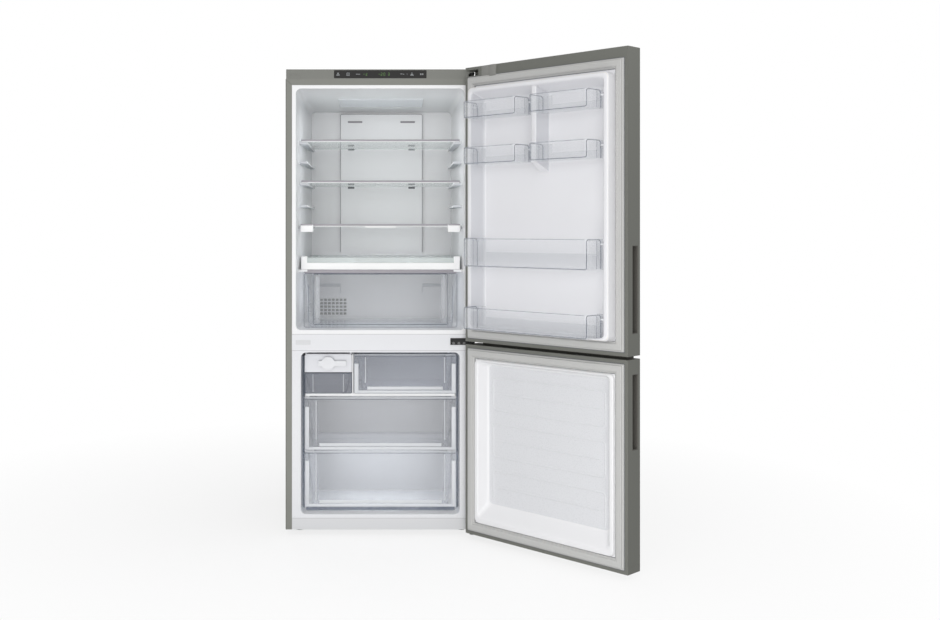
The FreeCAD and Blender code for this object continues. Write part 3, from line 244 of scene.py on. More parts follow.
class FridgeStage(bpy.types.PropertyGroup):
    """Camera and light."""
    camera: FloatVectorProperty(name="Camera", description="Place of the camera", size=3, subtype="TRANSLATION",
                                unit="LENGTH", default=(0.036, -4.4225, 1.1337))
    lens: number("Lens", 42.5, "Focal length in millimetres")
    shift: FloatVectorProperty(name="Shift", description="Shift of the picture", size=2, default=(0.0851, -0.0872))
    sky: number("Sky", 0.39, "Strength of the white surroundings")
    key: number("Front light", 78.0, "Power of the front light", "POWER")
    inside: number("Inside light", 0.45, "Power of the light in the rooms", "POWER")


# Node trees

def feed(tree, socket, given):
    """Links a socket to another or to a node's first output, or sets its value."""
    if isinstance(given, bpy.types.Node):
        given = given.outputs[0]
    if isinstance(given, bpy.types.NodeSocket):
        tree.links.new(given, socket)
    else:
        socket.default_value = given


def add_node(tree, kind, values=None, **inputs):
    """A node whose sockets, named with _ for a blank, are set or linked."""
    node = tree.nodes.new(kind)
    for label, value in (values or {}).items():
        setattr(node, label, value)
    for label, given in inputs.items():
        feed(tree, node.inputs[label.replace("_", " ")], given)
    return node


def calculate(tree, operation, *values):
    """The result of a calculation with two values."""
    node = add_node(tree, "ShaderNodeMath", {"operation": operation})
    for socket, given in zip(node.inputs, values):
        feed(tree, socket, given)
    return node


def new_tree(name, kind, inputs, outputs):
    """An empty node tree with sockets, named with _ for a blank, and what it is given."""
    tree = bpy.data.node_groups.new(name, kind)
    for in_out, sockets in (("INPUT", inputs), ("OUTPUT", outputs)):
        for label, form in sockets.items():
            tree.interface.new_socket(name=label.replace("_", " "), in_out=in_out, socket_type="NodeSocket" + form)
    return tree, tree.nodes.new("NodeGroupInput").outputs


# Finishes

def spread(tree, value, centre, width):
    """A value of 0 to 1 laid round a centre with a width."""
    return calculate(tree, "ADD", calculate(tree, "MULTIPLY", calculate(tree, "SUBTRACT", value, 0.5), width), centre)


def surface_group(name, stretch):
    """Fine texture of a surface: colour, roughness and height that change from place to place."""
    if name in bpy.data.node_groups:
        return bpy.data.node_groups[name]
    tree, given = new_tree(name, "ShaderNodeTree", dict(
        Colour="Color", Scale="Float", Roughness="Float", Roughness_Spread="Float", Colour_Spread="Float"),
        dict(Colour="Color", Roughness="Float", Height="Float"))
    place = add_node(tree, "ShaderNodeTexCoord").outputs["Object"]
    turn = add_node(tree, "ShaderNodeMapping", Vector=place, Scale=stretch)
    fine = add_node(tree, "ShaderNodeTexNoise", Vector=turn, Scale=given["Scale"], Detail=2.0)
    broad = add_node(tree, "ShaderNodeTexNoise", Vector=place, Scale=7.0, Detail=3.0)
    level = spread(tree, broad, 1.0, given["Colour Spread"])
    shade = add_node(tree, "ShaderNodeVectorMath", {"operation": "SCALE"}, Vector=given["Colour"], Scale=level)
    add_node(tree, "NodeGroupOutput", Colour=shade, Height=fine,
             Roughness=spread(tree, fine, given["Roughness"], given["Roughness Spread"]))
    return tree


def make_finish(name, base, rough, rough_spread, colour_spread, scale, bump, metallic=0.0, grain=NO_STRETCH,
                coat=0.0, see=None, glow=0.0, shine=0.5):
    """A material whose colour, roughness and height come from a surface group; see is its opacity, flat and edge-on."""
    if name in bpy.data.materials:
        return bpy.data.materials[name]
    material = bpy.data.materials.new(name)
    material.use_nodes = True
    material.diffuse_color = (*base, 1.0)
    tree = material.node_tree
    group = surface_group("moulded_surface" if grain == NO_STRETCH else "brushed_grain", grain)
    surface = add_node(tree, "ShaderNodeGroup", {"node_tree": group}, Colour=(*base, 1.0), Scale=scale,
                       Roughness=rough, Roughness_Spread=rough_spread, Colour_Spread=colour_spread).outputs
    relief = add_node(tree, "ShaderNodeBump", Strength=bump, Distance=0.5 * MM, Height=surface["Height"])
    inputs = {"Base Color": surface["Colour"], "Roughness": surface["Roughness"], "Normal": relief,
              "Metallic": metallic, "Coat Weight": coat, "Specular IOR Level": shine}
    if see:
        edge = add_node(tree, "ShaderNodeLayerWeight", Blend=0.4)
        span = add_node(tree, "ShaderNodeMapRange", Value=edge.outputs["Facing"], To_Min=see[0], To_Max=see[1])
        inputs["Alpha"] = span
    if glow:
        inputs.update({"Emission Color": (*base, 1.0), "Emission Strength": glow})
    for label, given in inputs.items():
        feed(tree, tree.nodes["Principled BSDF"].inputs[label], given)
    return material


def finish(look):
    """The material of a look, made when it is first asked for."""
    material, _, rough, surface, *others = FINISHES[look]
    base = getattr(bpy.context.scene.fridge_finishes, look)
    return make_finish(material, base, rough, *surface, **dict(*others))


# Mesh helpers

def new_mesh(name, bm):
    """A mesh from one under construction."""
    mesh = bpy.data.meshes.new(name)
    bm.to_mesh(mesh)
    bm.free()
    return mesh


def skin(bm, first, last):
    """Joins two rings of points with faces."""
    for corners in zip(first, first[1:] + first[:1], last[1:] + last[:1], last):
        bm.faces.new(corners)


def rounded_ring(half, low, high, radius, steps):
    """Points (across, up) round a rectangle with round corners."""
    points = []
    z0, z1 = low + radius, high - radius
    for side, z, start in ((1, z0, -90), (1, z1, 0), (-1, z1, 90), (-1, z0, 180)):
        for k in range(steps + 1):
            angle = math.radians(start + 90 * k / steps)
            points.append((side * (half - radius) + radius * math.cos(angle), z + radius * math.sin(angle)))
    return points


def loft(bm, sections, steps=5, caps=True):
    """Skins upright outlines (half width, bottom, top, corner, depth); without caps the last joins the first."""
    rings = [[bm.verts.new((x, depth, z)) for x, z in rounded_ring(*outline, steps)] for *outline, depth in sections]
    for first, last in zip(rings, rings[1:] if caps else rings[1:] + rings[:1]):
        skin(bm, first, last)
    if caps:
        bm.faces.new(list(reversed(rings[0])))
        bm.faces.new(rings[-1])


def round_edges(bm, edges, width, segments=2):
    bmesh.ops.bevel(bm, geom=edges, offset=width, segments=segments, profile=0.5, affect="EDGES", clamp_overlap=True)


def pick(bm, second):
    """Gives the second look to the faces that second chooses by their centre and normal."""
    for face in bm.faces if second else ():
        face.material_index = int(second(face.calc_center_median(), face.normal))


def add_block(bm, low, high, width=0.0, segments=2, rounds=None, second=None):
    """A solid between two outlines; rounds chooses the edges to round and second the faces of the second look."""
    part = bmesh.new()
    rings = [[part.verts.new(point) for point in points] for points in (low, high)]
    part.faces.new(list(reversed(rings[0])))
    part.faces.new(rings[1])
    skin(part, *rings)
    bmesh.ops.recalc_face_normals(part, faces=part.faces)
    if width > 0:
        round_edges(part, [e for e in part.edges if not rounds or rounds(e)], width, segments)
    pick(part, second)
    mesh = new_mesh("part", part)
    bm.from_mesh(mesh)
    bpy.data.meshes.remove(mesh)


def add_box(bm, x0, x1, y0, y1, z0, z1, width):
    """A box with rounded edges."""
    corners = ((x0, y0), (x1, y0), (x1, y1), (x0, y1))
    add_block(bm, *([(x, y, z) for x, y in corners] for z in (z0, z1)), width)


def put(name, data):
    """Puts an object into the scene."""
    shown = bpy.data.objects.new(name, data)
    bpy.context.scene.collection.objects.link(shown)
    return shown


def real_copy(name, mesh, kind, setup):
    """What a modifier makes of a mesh, as a plain mesh."""
    holder = put(name + "_base", mesh)
    modifier = holder.modifiers.new("shape", kind)
    setup(modifier)
    graph = bpy.context.evaluated_depsgraph_get()
    result = bpy.data.meshes.new_from_object(holder.evaluated_get(graph))
    holder.modifiers.remove(modifier)
    bpy.data.objects.remove(holder)
    bpy.data.meshes.remove(mesh)
    if not result.polygons:
        raise RuntimeError(name + " came out empty")
    result.name = name
    return result


def settle(name, mesh, node, replaces=False, angle=38, built=True):
    """Puts a finished mesh into the scene with a part's body; it can stand for that part.

    What is built for a door is shaped with the door shut and turns with it here.
    """
    body = nodes[node]["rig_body"]
    if built and body.startswith((*DOORS, "basket")):
        mesh.transform(DOOR_TURN)
    mesh.shade_smooth()
    mesh.set_sharp_from_angle(angle=math.radians(angle))
    if replaces:
        # Wide faces stay flat beside their rounded edges
        mesh = real_copy(name, mesh, "WEIGHTED_NORMAL", lambda modifier: setattr(modifier, "keep_sharp", True))
    shown = put(name, mesh)
    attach(shown, body)
    if replaces:
        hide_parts(node)


def piece(name, bm, look, node, replaces=False, angle=38, built=True):
    """Turns a mesh under construction into a piece that rides with a part."""
    bmesh.ops.remove_doubles(bm, verts=bm.verts, dist=1e-6)
    if built:
        bmesh.ops.recalc_face_normals(bm, faces=bm.faces)
    mesh = new_mesh(name, bm)
    for one in look if isinstance(look, tuple) else (look,):
        mesh.materials.append(finish(one))
    settle(name, mesh, node, replaces, angle, built)


def slabs(name, look, node, rows, width=0.0):
    """A piece of boxes (x, x, y, y, z, z), all with rounded edges; a row can end with a width of its own."""
    bm = bmesh.new()
    for row in rows:
        add_box(bm, *row[:6], *(row[6:] or (width,)))
    piece(name, bm, look, node)


def soften(node, width, look=None, second=None):
    """Stands for a solid with its sharp edges rounded; second chooses the faces of the second of two looks."""
    bm = bmesh.new()
    bm.from_mesh(nodes[node].data)
    bmesh.ops.remove_doubles(bm, verts=bm.verts, dist=1e-5)
    bmesh.ops.dissolve_limit(bm, angle_limit=math.radians(0.5), verts=bm.verts, edges=bm.edges)
    sharp = [e for e in bm.edges if len(e.link_faces) == 2 and e.calc_face_angle() > math.radians(35)]
    round_edges(bm, sharp, width)
    pick(bm, second)
    piece(node + "_rounded", bm, look or SLOTS[node], node, True, built=False)


def dress(node, look=None):
    """Gives a solid that is shown as it is its finish."""
    mesh = nodes[node].data
    mesh.materials.clear()
    mesh.materials.append(finish(look or SLOTS[node]))


# Geometry Nodes

def shape_tree(name, **inputs):
    """An empty Geometry Nodes tree with named inputs; every tree ends in close_tree."""
    shape = {"Geometry": "Geometry"}
    return new_tree(name, "GeometryNodeTree", {**shape, **inputs, "Material": "Material"}, shape)


def close_tree(tree, given, geometry):
    real = add_node(tree, "GeometryNodeRealizeInstances", Geometry=geometry)
    look = add_node(tree, "GeometryNodeSetMaterial", Geometry=real, Material=given["Material"])
    add_node(tree, "NodeGroupOutput", Geometry=look)
    return tree


def bend(tree, curve, radius):
    """A curve with round corners."""
    return add_node(tree, "GeometryNodeFilletCurve", {"mode": "POLY"}, Curve=curve, Count=6, Radius=radius,
                    Limit_Radius=True)


def tube(tree, curve, radius):
    """A round bead along a curve."""
    ring = add_node(tree, "GeometryNodeCurvePrimitiveCircle", Resolution=8, Radius=radius)
    return add_node(tree, "GeometryNodeCurveToMesh", Curve=curve, Profile_Curve=ring, Fill_Caps=True)


def row_of(tree, instance, **line):
    """Copies of an instance along a line."""
    points = add_node(tree, "GeometryNodeMeshLine", **line)
    return add_node(tree, "GeometryNodeInstanceOnPoints", Points=points, Instance=instance)


def edge_bead(name):
    """A round bead along the edges of the given mesh, its corners bent."""
    tree, given = shape_tree(name, Radius="Float", Bend="Float")
    path = add_node(tree, "GeometryNodeMeshToCurve", Mesh=given["Geometry"])
    bent = bend(tree, path, given["Bend"])
    return close_tree(tree, given, tube(tree, bent, given["Radius"]))


def block_grid(name):
    """Small blocks in columns and rows from the first block's centre."""
    tree, given = shape_tree(name, Columns="Int", Rows="Int", Column_Step="Vector", Row_Step="Vector", First="Vector",
                             Size="Vector")
    block = add_node(tree, "GeometryNodeMeshCube", Size=given["Size"])
    stack = row_of(tree, block, Count=given["Rows"], Offset=given["Row Step"])
    return close_tree(tree, given, row_of(tree, stack, Count=given["Columns"], Offset=given["Column Step"],
                                          Start_Location=given["First"]))


def outlined_panels(name):
    """Rounded outlines one above the other, each with a bar across its middle, as beads on an upright face."""
    tree, given = shape_tree(name, Count="Int", Pitch="Float", Width="Float", Height="Float", Corner="Float",
                             Bead="Float", Bar="Float", First="Vector")
    outline = add_node(tree, "GeometryNodeCurvePrimitiveQuadrilateral", Width=given["Width"], Height=given["Height"])
    start, end = (add_node(tree, "ShaderNodeCombineXYZ", X=calculate(tree, "MULTIPLY", given["Bar"], share))
                  for share in (-0.5, 0.5))
    bar = add_node(tree, "GeometryNodeCurvePrimitiveLine", Start=start, End=end)
    both = add_node(tree, "GeometryNodeJoinGeometry")
    for curve in (bend(tree, outline, given["Corner"]), bar):
        feed(tree, both.inputs[0], curve)
    upright = add_node(tree, "GeometryNodeTransform", Geometry=tube(tree, both, given["Bead"]),
                       Rotation=(math.radians(90), 0.0, 0.0), Scale=(1.0, 1.0, 0.42))
    step = add_node(tree, "ShaderNodeCombineXYZ", Z=given["Pitch"])
    return close_tree(tree, given, row_of(tree, upright, Count=given["Count"], Offset=step,
                                          Start_Location=given["First"]))


def grown(name, build, values, look, node, base=None):
    """Runs the tree that a function builds and keeps its result as a plain piece that rides with a part."""
    tree = bpy.data.node_groups.get(build.__name__) or build(build.__name__)
    wanted = dict(values, Material=finish(look))

    def setup(modifier):
        modifier.node_group = tree
        for item in tree.interface.items_tree:
            if item.in_out == "INPUT" and item.name in wanted:
                modifier[item.identifier] = wanted[item.name]

    mesh = real_copy(name, base or bpy.data.meshes.new(name + "_base"), "NODES", setup)
    settle(name, mesh, node, angle=50)


def path_mesh(paths):
    """A mesh of edges along paths; a path that ends where it starts is closed."""
    bm = bmesh.new()
    for points in paths:
        closed = points[0] == points[-1]
        verts = [bm.verts.new(point) for point in (points[:-1] if closed else points)]
        for pair in zip(verts, verts[1:] + verts[:1] if closed else verts[1:]):
            bm.edges.new(pair)
    return new_mesh("path", bm)


def front_lines(name, node, paths, radius, look):
    """Beads along upright paths (across, up) on a part's front."""
    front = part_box(node)[0].y + radius * 0.4
    base = path_mesh([[(x, front, z) for x, z in points] for points in paths])
    grown(name, edge_bead, {"Radius": radius, "Bend": 0.006}, look, node, base)


def frame_path(x0, x1, z0, z1):
    return [(x0, z0), (x1, z0), (x1, z1), (x0, z1), (x0, z0)]


# Pieces

class FRIDGE_OT_stage(bpy.types.Operator):
    """Adds the floor, the lights and the camera"""
    bl_idname = "fridge.stage"
    bl_label = "Stage"

    def execute(self, context):
        scene = context.scene
        settings = scene.fridge_stage
        scene.view_settings.view_transform = "Standard"
        self.room(scene, settings.sky)
        self.floor()
        for name, place, target, size, share in STAGE_LIGHTS:
            self.light(name, place, target, size, settings.key * share)
        for name, place, width, share in CEILING_LIGHTS:
            self.light(name, place, (*place[:2], 0.0), (width, 0.2), settings.inside * share, ROOM_TINT)
        for side in (-1, 1):
            self.light("wall_light_%d" % (side + 2), (side * 0.1, -0.2, 1.18), (side, -0.12, 1.18), (0.04, 0.75),
                       settings.inside * 0.55, ROOM_TINT, 100)
        camera = put("camera", bpy.data.cameras.new("camera"))
        camera.location = settings.camera
        camera.rotation_euler = (math.radians(90), 0.0, 0.0)
        camera.data.lens = settings.lens
        camera.data.sensor_width = 36.0
        camera.data.shift_x, camera.data.shift_y = settings.shift
        scene.camera = camera
        return {"FINISHED"}

    def room(self, scene, strength):
        """White surroundings; what the camera sees of them directly is plain white."""
        world = bpy.data.worlds.new("white_room")
        world.use_nodes = True
        tree = world.node_tree
        glow = tree.nodes["Background"]
        glow.inputs["Color"].default_value = WHITE
        glow.inputs["Strength"].default_value = strength
        seen = add_node(tree, "ShaderNodeBackground", Color=WHITE)
        path = add_node(tree, "ShaderNodeLightPath")
        choice = add_node(tree, "ShaderNodeMixShader")
        for socket, given in zip(choice.inputs, (path, glow, seen)):
            feed(tree, socket, given)
        feed(tree, tree.nodes["World Output"].inputs["Surface"], choice)
        scene.world = world

    def floor(self):
        """A pale floor that fades out away from the object."""
        bm = bmesh.new()
        bmesh.ops.create_circle(bm, cap_ends=True, segments=64, radius=6.0)
        bm.transform(Matrix.Translation((0, 0, -0.5 * MM)))
        material = make_finish("pale_floor", (0.98, 0.98, 0.98), 0.8, 0.05, 0.01, 60, 0.0)
        tree = material.node_tree
        place = add_node(tree, "ShaderNodeTexCoord")
        far = add_node(tree, "ShaderNodeVectorMath", {"operation": "LENGTH"}, Vector=place.outputs["Object"])
        fade = add_node(tree, "ShaderNodeMapRange", Value=far.outputs["Value"], From_Min=0.5, From_Max=2.2,
                        To_Min=0.22, To_Max=0.0)
        feed(tree, tree.nodes["Principled BSDF"].inputs["Alpha"], fade)
        floor = put("floor", new_mesh("floor", bm))
        floor.data.materials.append(material)

    def light(self, name, place, target, size, power, tint=None, angle=180):
        """A rectangle of light that the camera doesn't see; a tinted one isn't mirrored either."""
        lamp = bpy.data.lights.new(name, "AREA")
        lamp.shape = "RECTANGLE"
        lamp.size, lamp.size_y = size
        lamp.energy = power
        lamp.spread = math.radians(angle)
        holder = put(name, lamp)
        holder.location = place
        holder.rotation_euler = (Vector(target) - Vector(place)).to_track_quat("-Z", "Y").to_euler()
        holder.visible_camera = False
        if tint:
            lamp.color = tint
            holder.visible_glossy = False


class FRIDGE_OT_cabinet(bpy.types.Operator):
    """Dresses the cabinet's outside: shell, covers, control strip, back, feet and hinges"""
    bl_idname = "fridge.cabinet"
    bl_label = "Cabinet"

    def execute(self, context):
        s = context.scene.fridge_sizes
        for node in ("cabinet_shell", "back_panel", "base_pan", "cabinet_foam", "cord_inlet", "front_feet",
                     "rear_rollers", "bottom_hinge"):
            dress(node)
        dress("hinge_screws", "dark_metal")
        soften("top_cover", s.edge)
        soften("centre_beam_cover", s.edge, "beam")
        soften("kick_plate", s.edge, "kick")
        soften("control_panel", s.thin_edge)
        for node in ("top_hinge", "middle_hinge"):
            soften(node, s.thin_edge, "hinge_black")
        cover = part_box("top_cover")[0].z
        soften("hinge_hole_caps", s.thin_edge, ("grey_plastic", "kick"), lambda place, normal: place.z < cover)
        self.marks()
        self.joints()
        return {"FINISHED"}

    def marks(self):
        """Symbols and digits printed on the control strip."""
        low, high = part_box("control_panel")
        middle = (low.z + high.z) / 2
        symbols = [(place, bar) for place, bars in ICONS for bar in bars]
        digits = [(place, SEGMENTS[letter]) for place, shown in DIGITS for letter in shown]
        for name, look, bars in (("control_symbols", "mark", symbols), ("control_digits", "green", digits)):
            rows = []
            for place, (across, up, width, height) in bars:
                x, z = (place + across) * MM, middle + up * MM
                wide, tall = width * MM / 2, height * MM / 2
                rows.append((x - wide, x + wide, low.y - 0.3 * MM, low.y + 0.4 * MM, z - tall, z + tall))
            slabs(name, look, "control_panel", rows)

    def joints(self):
        """Joint lines in the corners of the steel front band and along the white covers."""
        face, width = FRONT - 0.2 * MM, 1.1 * MM
        bm = bmesh.new()
        for sign in (-1, 1):
            ends = ((sign * 0.3495, 1.6835, -width), (sign * 0.3495, 1.6835, width), (sign * 0.3264, 1.662, width),
                    (sign * 0.3264, 1.662, -width))
            add_block(bm, *([(x, y, z + up) for x, z, up in ends] for y in (face, face + 0.5 * MM)))
        piece("band_mitres", bm, "grip", "cabinet_shell")
        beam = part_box("centre_beam_cover")
        heights = (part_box("kick_plate")[1].z, beam[0].z, beam[1].z)
        slabs("cover_joints", "shelf_trim", "kick_plate", [
            (-0.326, 0.326, face, face + 0.6 * MM, z - 0.5 * MM, z + 0.5 * MM) for z in heights])


class FRIDGE_OT_fridge_room(bpy.types.Operator):
    """Builds the fridge's liner with its rails, shelves, air slots and crisper"""
    bl_idname = "fridge.fridge_room"
    bl_label = "Fridge room"

    def execute(self, context):
        s = context.scene.fridge_sizes
        shelves = ("shelf_1", "shelf_2", "shelf_3")
        for node in (*shelves, "crisper_cover_glass"):
            soften(node, s.thin_edge)
        for node in shelves:
            self.trim(node, s.fine_edge)
        for node in ("shelf_3_brackets", "crisper_cover_frame"):
            soften(node, s.edge)
        for node in ("fridge_duct_cover", "lamp_cover"):
            soften(node, s.fine_edge)
        # The faces of the shelf rails take the greyer white: painted shade that dims the light they catch
        soften("fridge_liner", s.edge, ("white_liner", "ledge"), self.is_rail)
        soften("crisper_drawer", s.fine_edge)
        low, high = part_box("fridge_duct_cover")
        outline = [(low.x, low.z), (low.x, high.z), (high.x, high.z), (high.x, low.z)]
        front_lines("duct_outline", "fridge_duct_cover", [outline], s.line * 1.1, "shelf_trim")
        self.crisper(s.line, s.fine_edge)
        self.air_slots()
        self.return_grille(s.grille_hole)
        self.back_ledges(s.edge, s.fine_edge)
        return {"FINISHED"}

    def is_rail(self, place, normal):
        """Whether a face of the liner is on a shelf rail: inside, beside the shelves and not on the wall; these faces
        are painted a greyer white as shade.
        """
        near, far, low, high, side = FRONT + 0.02, FRONT + 0.5, 1.0, 1.6, 0.25
        return near < place.y < far and low < place.z < high and abs(place.x) > side and abs(normal.x) < 0.9

    def trim(self, node, width):
        """The strip along a shelf's front edge and the lip under it."""
        low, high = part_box(node)
        over = high.z + 1.2 * MM
        strip = [(low.x + MM, high.x - MM, low.y - 1.2 * MM, low.y + 5 * MM, high.z - 5.5 * MM, over)]
        lip = [(low.x + 2 * MM, high.x - 2 * MM, low.y - 0.8 * MM, low.y + 4 * MM, low.z + 0.4 * MM,
                high.z - 5.6 * MM)]
        if node == "shelf_3":
            edge, half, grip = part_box("shelf_3_brackets")[0].y, 22.5 * MM, 58 * MM
            strip += [(x - half, x + half, edge - 0.8 * MM, edge + 4 * MM, high.z - 4.5 * MM, over)
                      for x in (-0.278, 0.278)]
            lip.append((-grip, grip, low.y - MM, low.y + 4 * MM, low.z - 4 * MM, low.z + 2 * MM))
        slabs(node + "_trim", "shelf_trim", node, strip, width)
        slabs(node + "_lip", "white_trim", node, lip, width)

    def crisper(self, radius, width):
        """Edges of the crisper's front and its panel, light strips of painted sheen beside the panel, and a grey strip
        of painted shade in the gap over them.
        """
        node = "crisper_drawer"
        low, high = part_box(node)
        panel, bottom, top = 0.254, 0.768, 0.9595
        walls = [[(x, 0.775), (x, 0.915)] for x in (-0.272, 0.272)]
        front_lines("crisper_outline", node, [
            frame_path(low.x + radius, high.x - radius, low.z + radius, high.z - radius),
            frame_path(-panel, panel, bottom, top), *walls], radius * 0.7, "bead")
        bar = panel - 4 * MM
        front_lines("crisper_panel", node, [[(-bar, z), (bar, z)] for z in (bottom, top)], radius * 1.2, "bead")
        # Light strips just behind the front: painted sheen
        slabs("crisper_ribs", "sheen", node, [
            (x, x + 17 * MM, low.y + 3.4 * MM, low.y + 5.6 * MM, 0.775, 0.955) for x in (-0.247, 0.230)], width * 0.8)
        # A grey strip in the gap over the crisper: painted shade
        slabs("crisper_grip", "shelf_trim", node, [
            (low.x + MM, high.x - MM, low.y + 3 * MM, low.y + 7 * MM, high.z, high.z + 12.5 * MM)], width)

    def back_ledges(self, width, corner_width):
        """Steps in the back wall beside the duct, behind the crisper, painted a greyer white as shade."""
        rows = []
        for a, b, corner in ((-0.262, -0.171, -0.171), (0.171, 0.255, 0.171)):
            rows.append((a, b, BACK_WALL - 6 * MM, BACK_WALL, 0.889, 0.902))
            rows.append((corner - 2 * MM, corner + 2 * MM, BACK_WALL - 3 * MM, BACK_WALL, 0.862, 0.890, corner_width))
        slabs("back_ledges", "ledge", "fridge_liner", rows, width)

    def air_slots(self):
        """Blocks of painted shade in the depth of the slots in the duct cover."""
        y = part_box("fridge_duct_cover")[0].y + 7.4 * MM
        for name, x, z, rows, step, width, look in AIR_SLOTS:
            grown("air_slots_" + name, block_grid, {
                "Columns": 2, "Rows": rows, "Column Step": (2 * x, 0.0, 0.0), "Row Step": (0.0, 0.0, step),
                "First": (-x, y, z), "Size": (width, 0.8 * MM, 7.4 * MM)}, look, "fridge_liner")

    def return_grille(self, hole):
        """The air return in the back wall behind the crisper; its holes are dark blocks of painted shade."""
        thick = 1.6 * MM
        slabs("return_grille", "white_trim", "fridge_liner", [
            (-0.262, -0.140, BACK_WALL - thick, BACK_WALL, 0.766, 0.845)], 0.7 * MM)
        grown("return_grille_holes", block_grid, {
            "Columns": 7, "Rows": 5, "Column Step": (16.3 * MM, 0.0, 0.0), "Row Step": (0.0, 0.0, 14.2 * MM),
            "First": (-0.2499, BACK_WALL - thick - 0.1 * MM, 0.7768), "Size": (12.2 * MM, 0.6 * MM, hole)},
            "grip", "fridge_liner")


class FRIDGE_OT_freezer_room(bpy.types.Operator):
    """Dresses the freezer's liner, drawers, ice maker and the machine parts"""
    bl_idname = "fridge.freezer_room"
    bl_label = "Freezer room"

    def execute(self, context):
        s = context.scene.fridge_sizes
        # Upward floor faces get the brighter white_trim: painted light on the floor in front of the drawers
        floor_top = 0.08
        soften("freezer_liner", s.edge, ("freezer_liner", "white_trim"),
               lambda place, normal: normal.z > 0.7 and place.z < floor_top)
        self.gaps()
        for node, look, foot in (("drawer_top", "milky", 0.0), ("drawer_middle", "drawer_clear", 0.0),
                                 ("drawer_bottom", "drawer_clear", 0.015)):
            soften(node, s.fine_edge, look)
            self.strips(node, s.strip_width, foot, s.fine_edge)
            self.rims(node, s.line)
        soften("ice_bin", s.fine_edge, "smoke")
        low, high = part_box("ice_bin")
        outline = frame_path(low.x + s.line, high.x - s.line, low.z + s.line, high.z - s.line)
        front_lines("ice_bin_outline", "ice_bin", [outline], s.line, "bead")
        front_lines("ice_bin_panel", "ice_bin", [[(x, low.z + 6 * MM), (x, high.z - 5 * MM)]
                                                 for x in (low.x + 31 * MM, high.x - 31 * MM)], s.line, "rim")
        soften("ice_maker_housing", s.fine_edge, "housing")
        for node in ("freezer_shelf", "freezer_duct_panel"):
            soften(node, s.fine_edge)
        soften("ice_tray", s.edge, "beam")
        self.ice_wall(s.fine_edge)
        for node in ("compressor", "drip_tray", "evaporator", "fan_motor", "fan_blade"):
            dress(node)
        return {"FINISHED"}

    def gaps(self):
        """Dark strips of painted shade in the gaps between the drawers and the side walls."""
        low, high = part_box("drawer_middle")
        slabs("drawer_gaps", "bead", "freezer_liner", [
            (x, x + 7 * MM, low.y + 15 * MM, low.y + 18 * MM, 0.086, 0.655)
            for x in (low.x - 8.3 * MM, high.x + 1.3 * MM)])

    def strips(self, node, width, foot, edge):
        """White strips on a drawer's front: one at each side and two along the bottom; with a foot they sit over a dark
        strip of painted shadow under the drawer.
        """
        low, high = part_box(node)
        front, back = low.y - 1.2 * MM, low.y + 3 * MM
        base = low.z + foot
        inset = min(0.055, (high.x - low.x) * 0.13)
        rows = [(x, x + width, front, back, base + 3 * MM, high.z - 36 * MM)
                for x in (low.x + 1.5 * MM, high.x - 1.5 * MM - width)]
        rows.append((low.x + 2 * MM, high.x - 2 * MM, front + 0.4 * MM, back, base + 1.5 * MM, base + 11.5 * MM))
        rows.append((low.x + inset, high.x - inset, front + 0.2 * MM, back, base + 14 * MM, base + 26 * MM))
        slabs(node + "_strips", "rim", node, rows, 1.2 * MM)
        # Under the bottom drawer a dark strip where its shadow falls: painted shadow
        if foot:
            slabs(node + "_foot", "bead", node, [
                (low.x + 6 * MM, high.x - 6 * MM, front + 0.8 * MM, back, base - 11 * MM, base + MM)], edge)

    def rims(self, node, radius):
        """The light top edge of a drawer's front with a dark line of painted shadow under it, and two light upright
        lines.
        """
        low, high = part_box(node)
        inset = min(0.043, (high.x - low.x) * 0.12)
        rim, shade = ([(low.x + 2 * MM, high.z - down), (high.x - 2 * MM, high.z - down)]
                      for down in (3.2 * MM, 8.5 * MM))
        uprights = [[(x, low.z + 40 * MM), (x, high.z - 12 * MM)] for x in (low.x + inset, high.x - inset)]
        front_lines(node + "_rim", node, [rim, *uprights], radius * 1.6, "rim")
        front_lines(node + "_rim_shade", node, [shade], radius * 0.75, "bead")

    def ice_wall(self, width):
        """The wall beside the ice maker."""
        low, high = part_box("ice_maker_housing")
        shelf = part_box("freezer_shelf")[1].z
        slabs("ice_maker_wall", "white_trim", "ice_maker_housing", [
            (high.x + 1.2 * MM, high.x + 5.8 * MM, low.y + 3 * MM, high.y, shelf, high.z)], width)


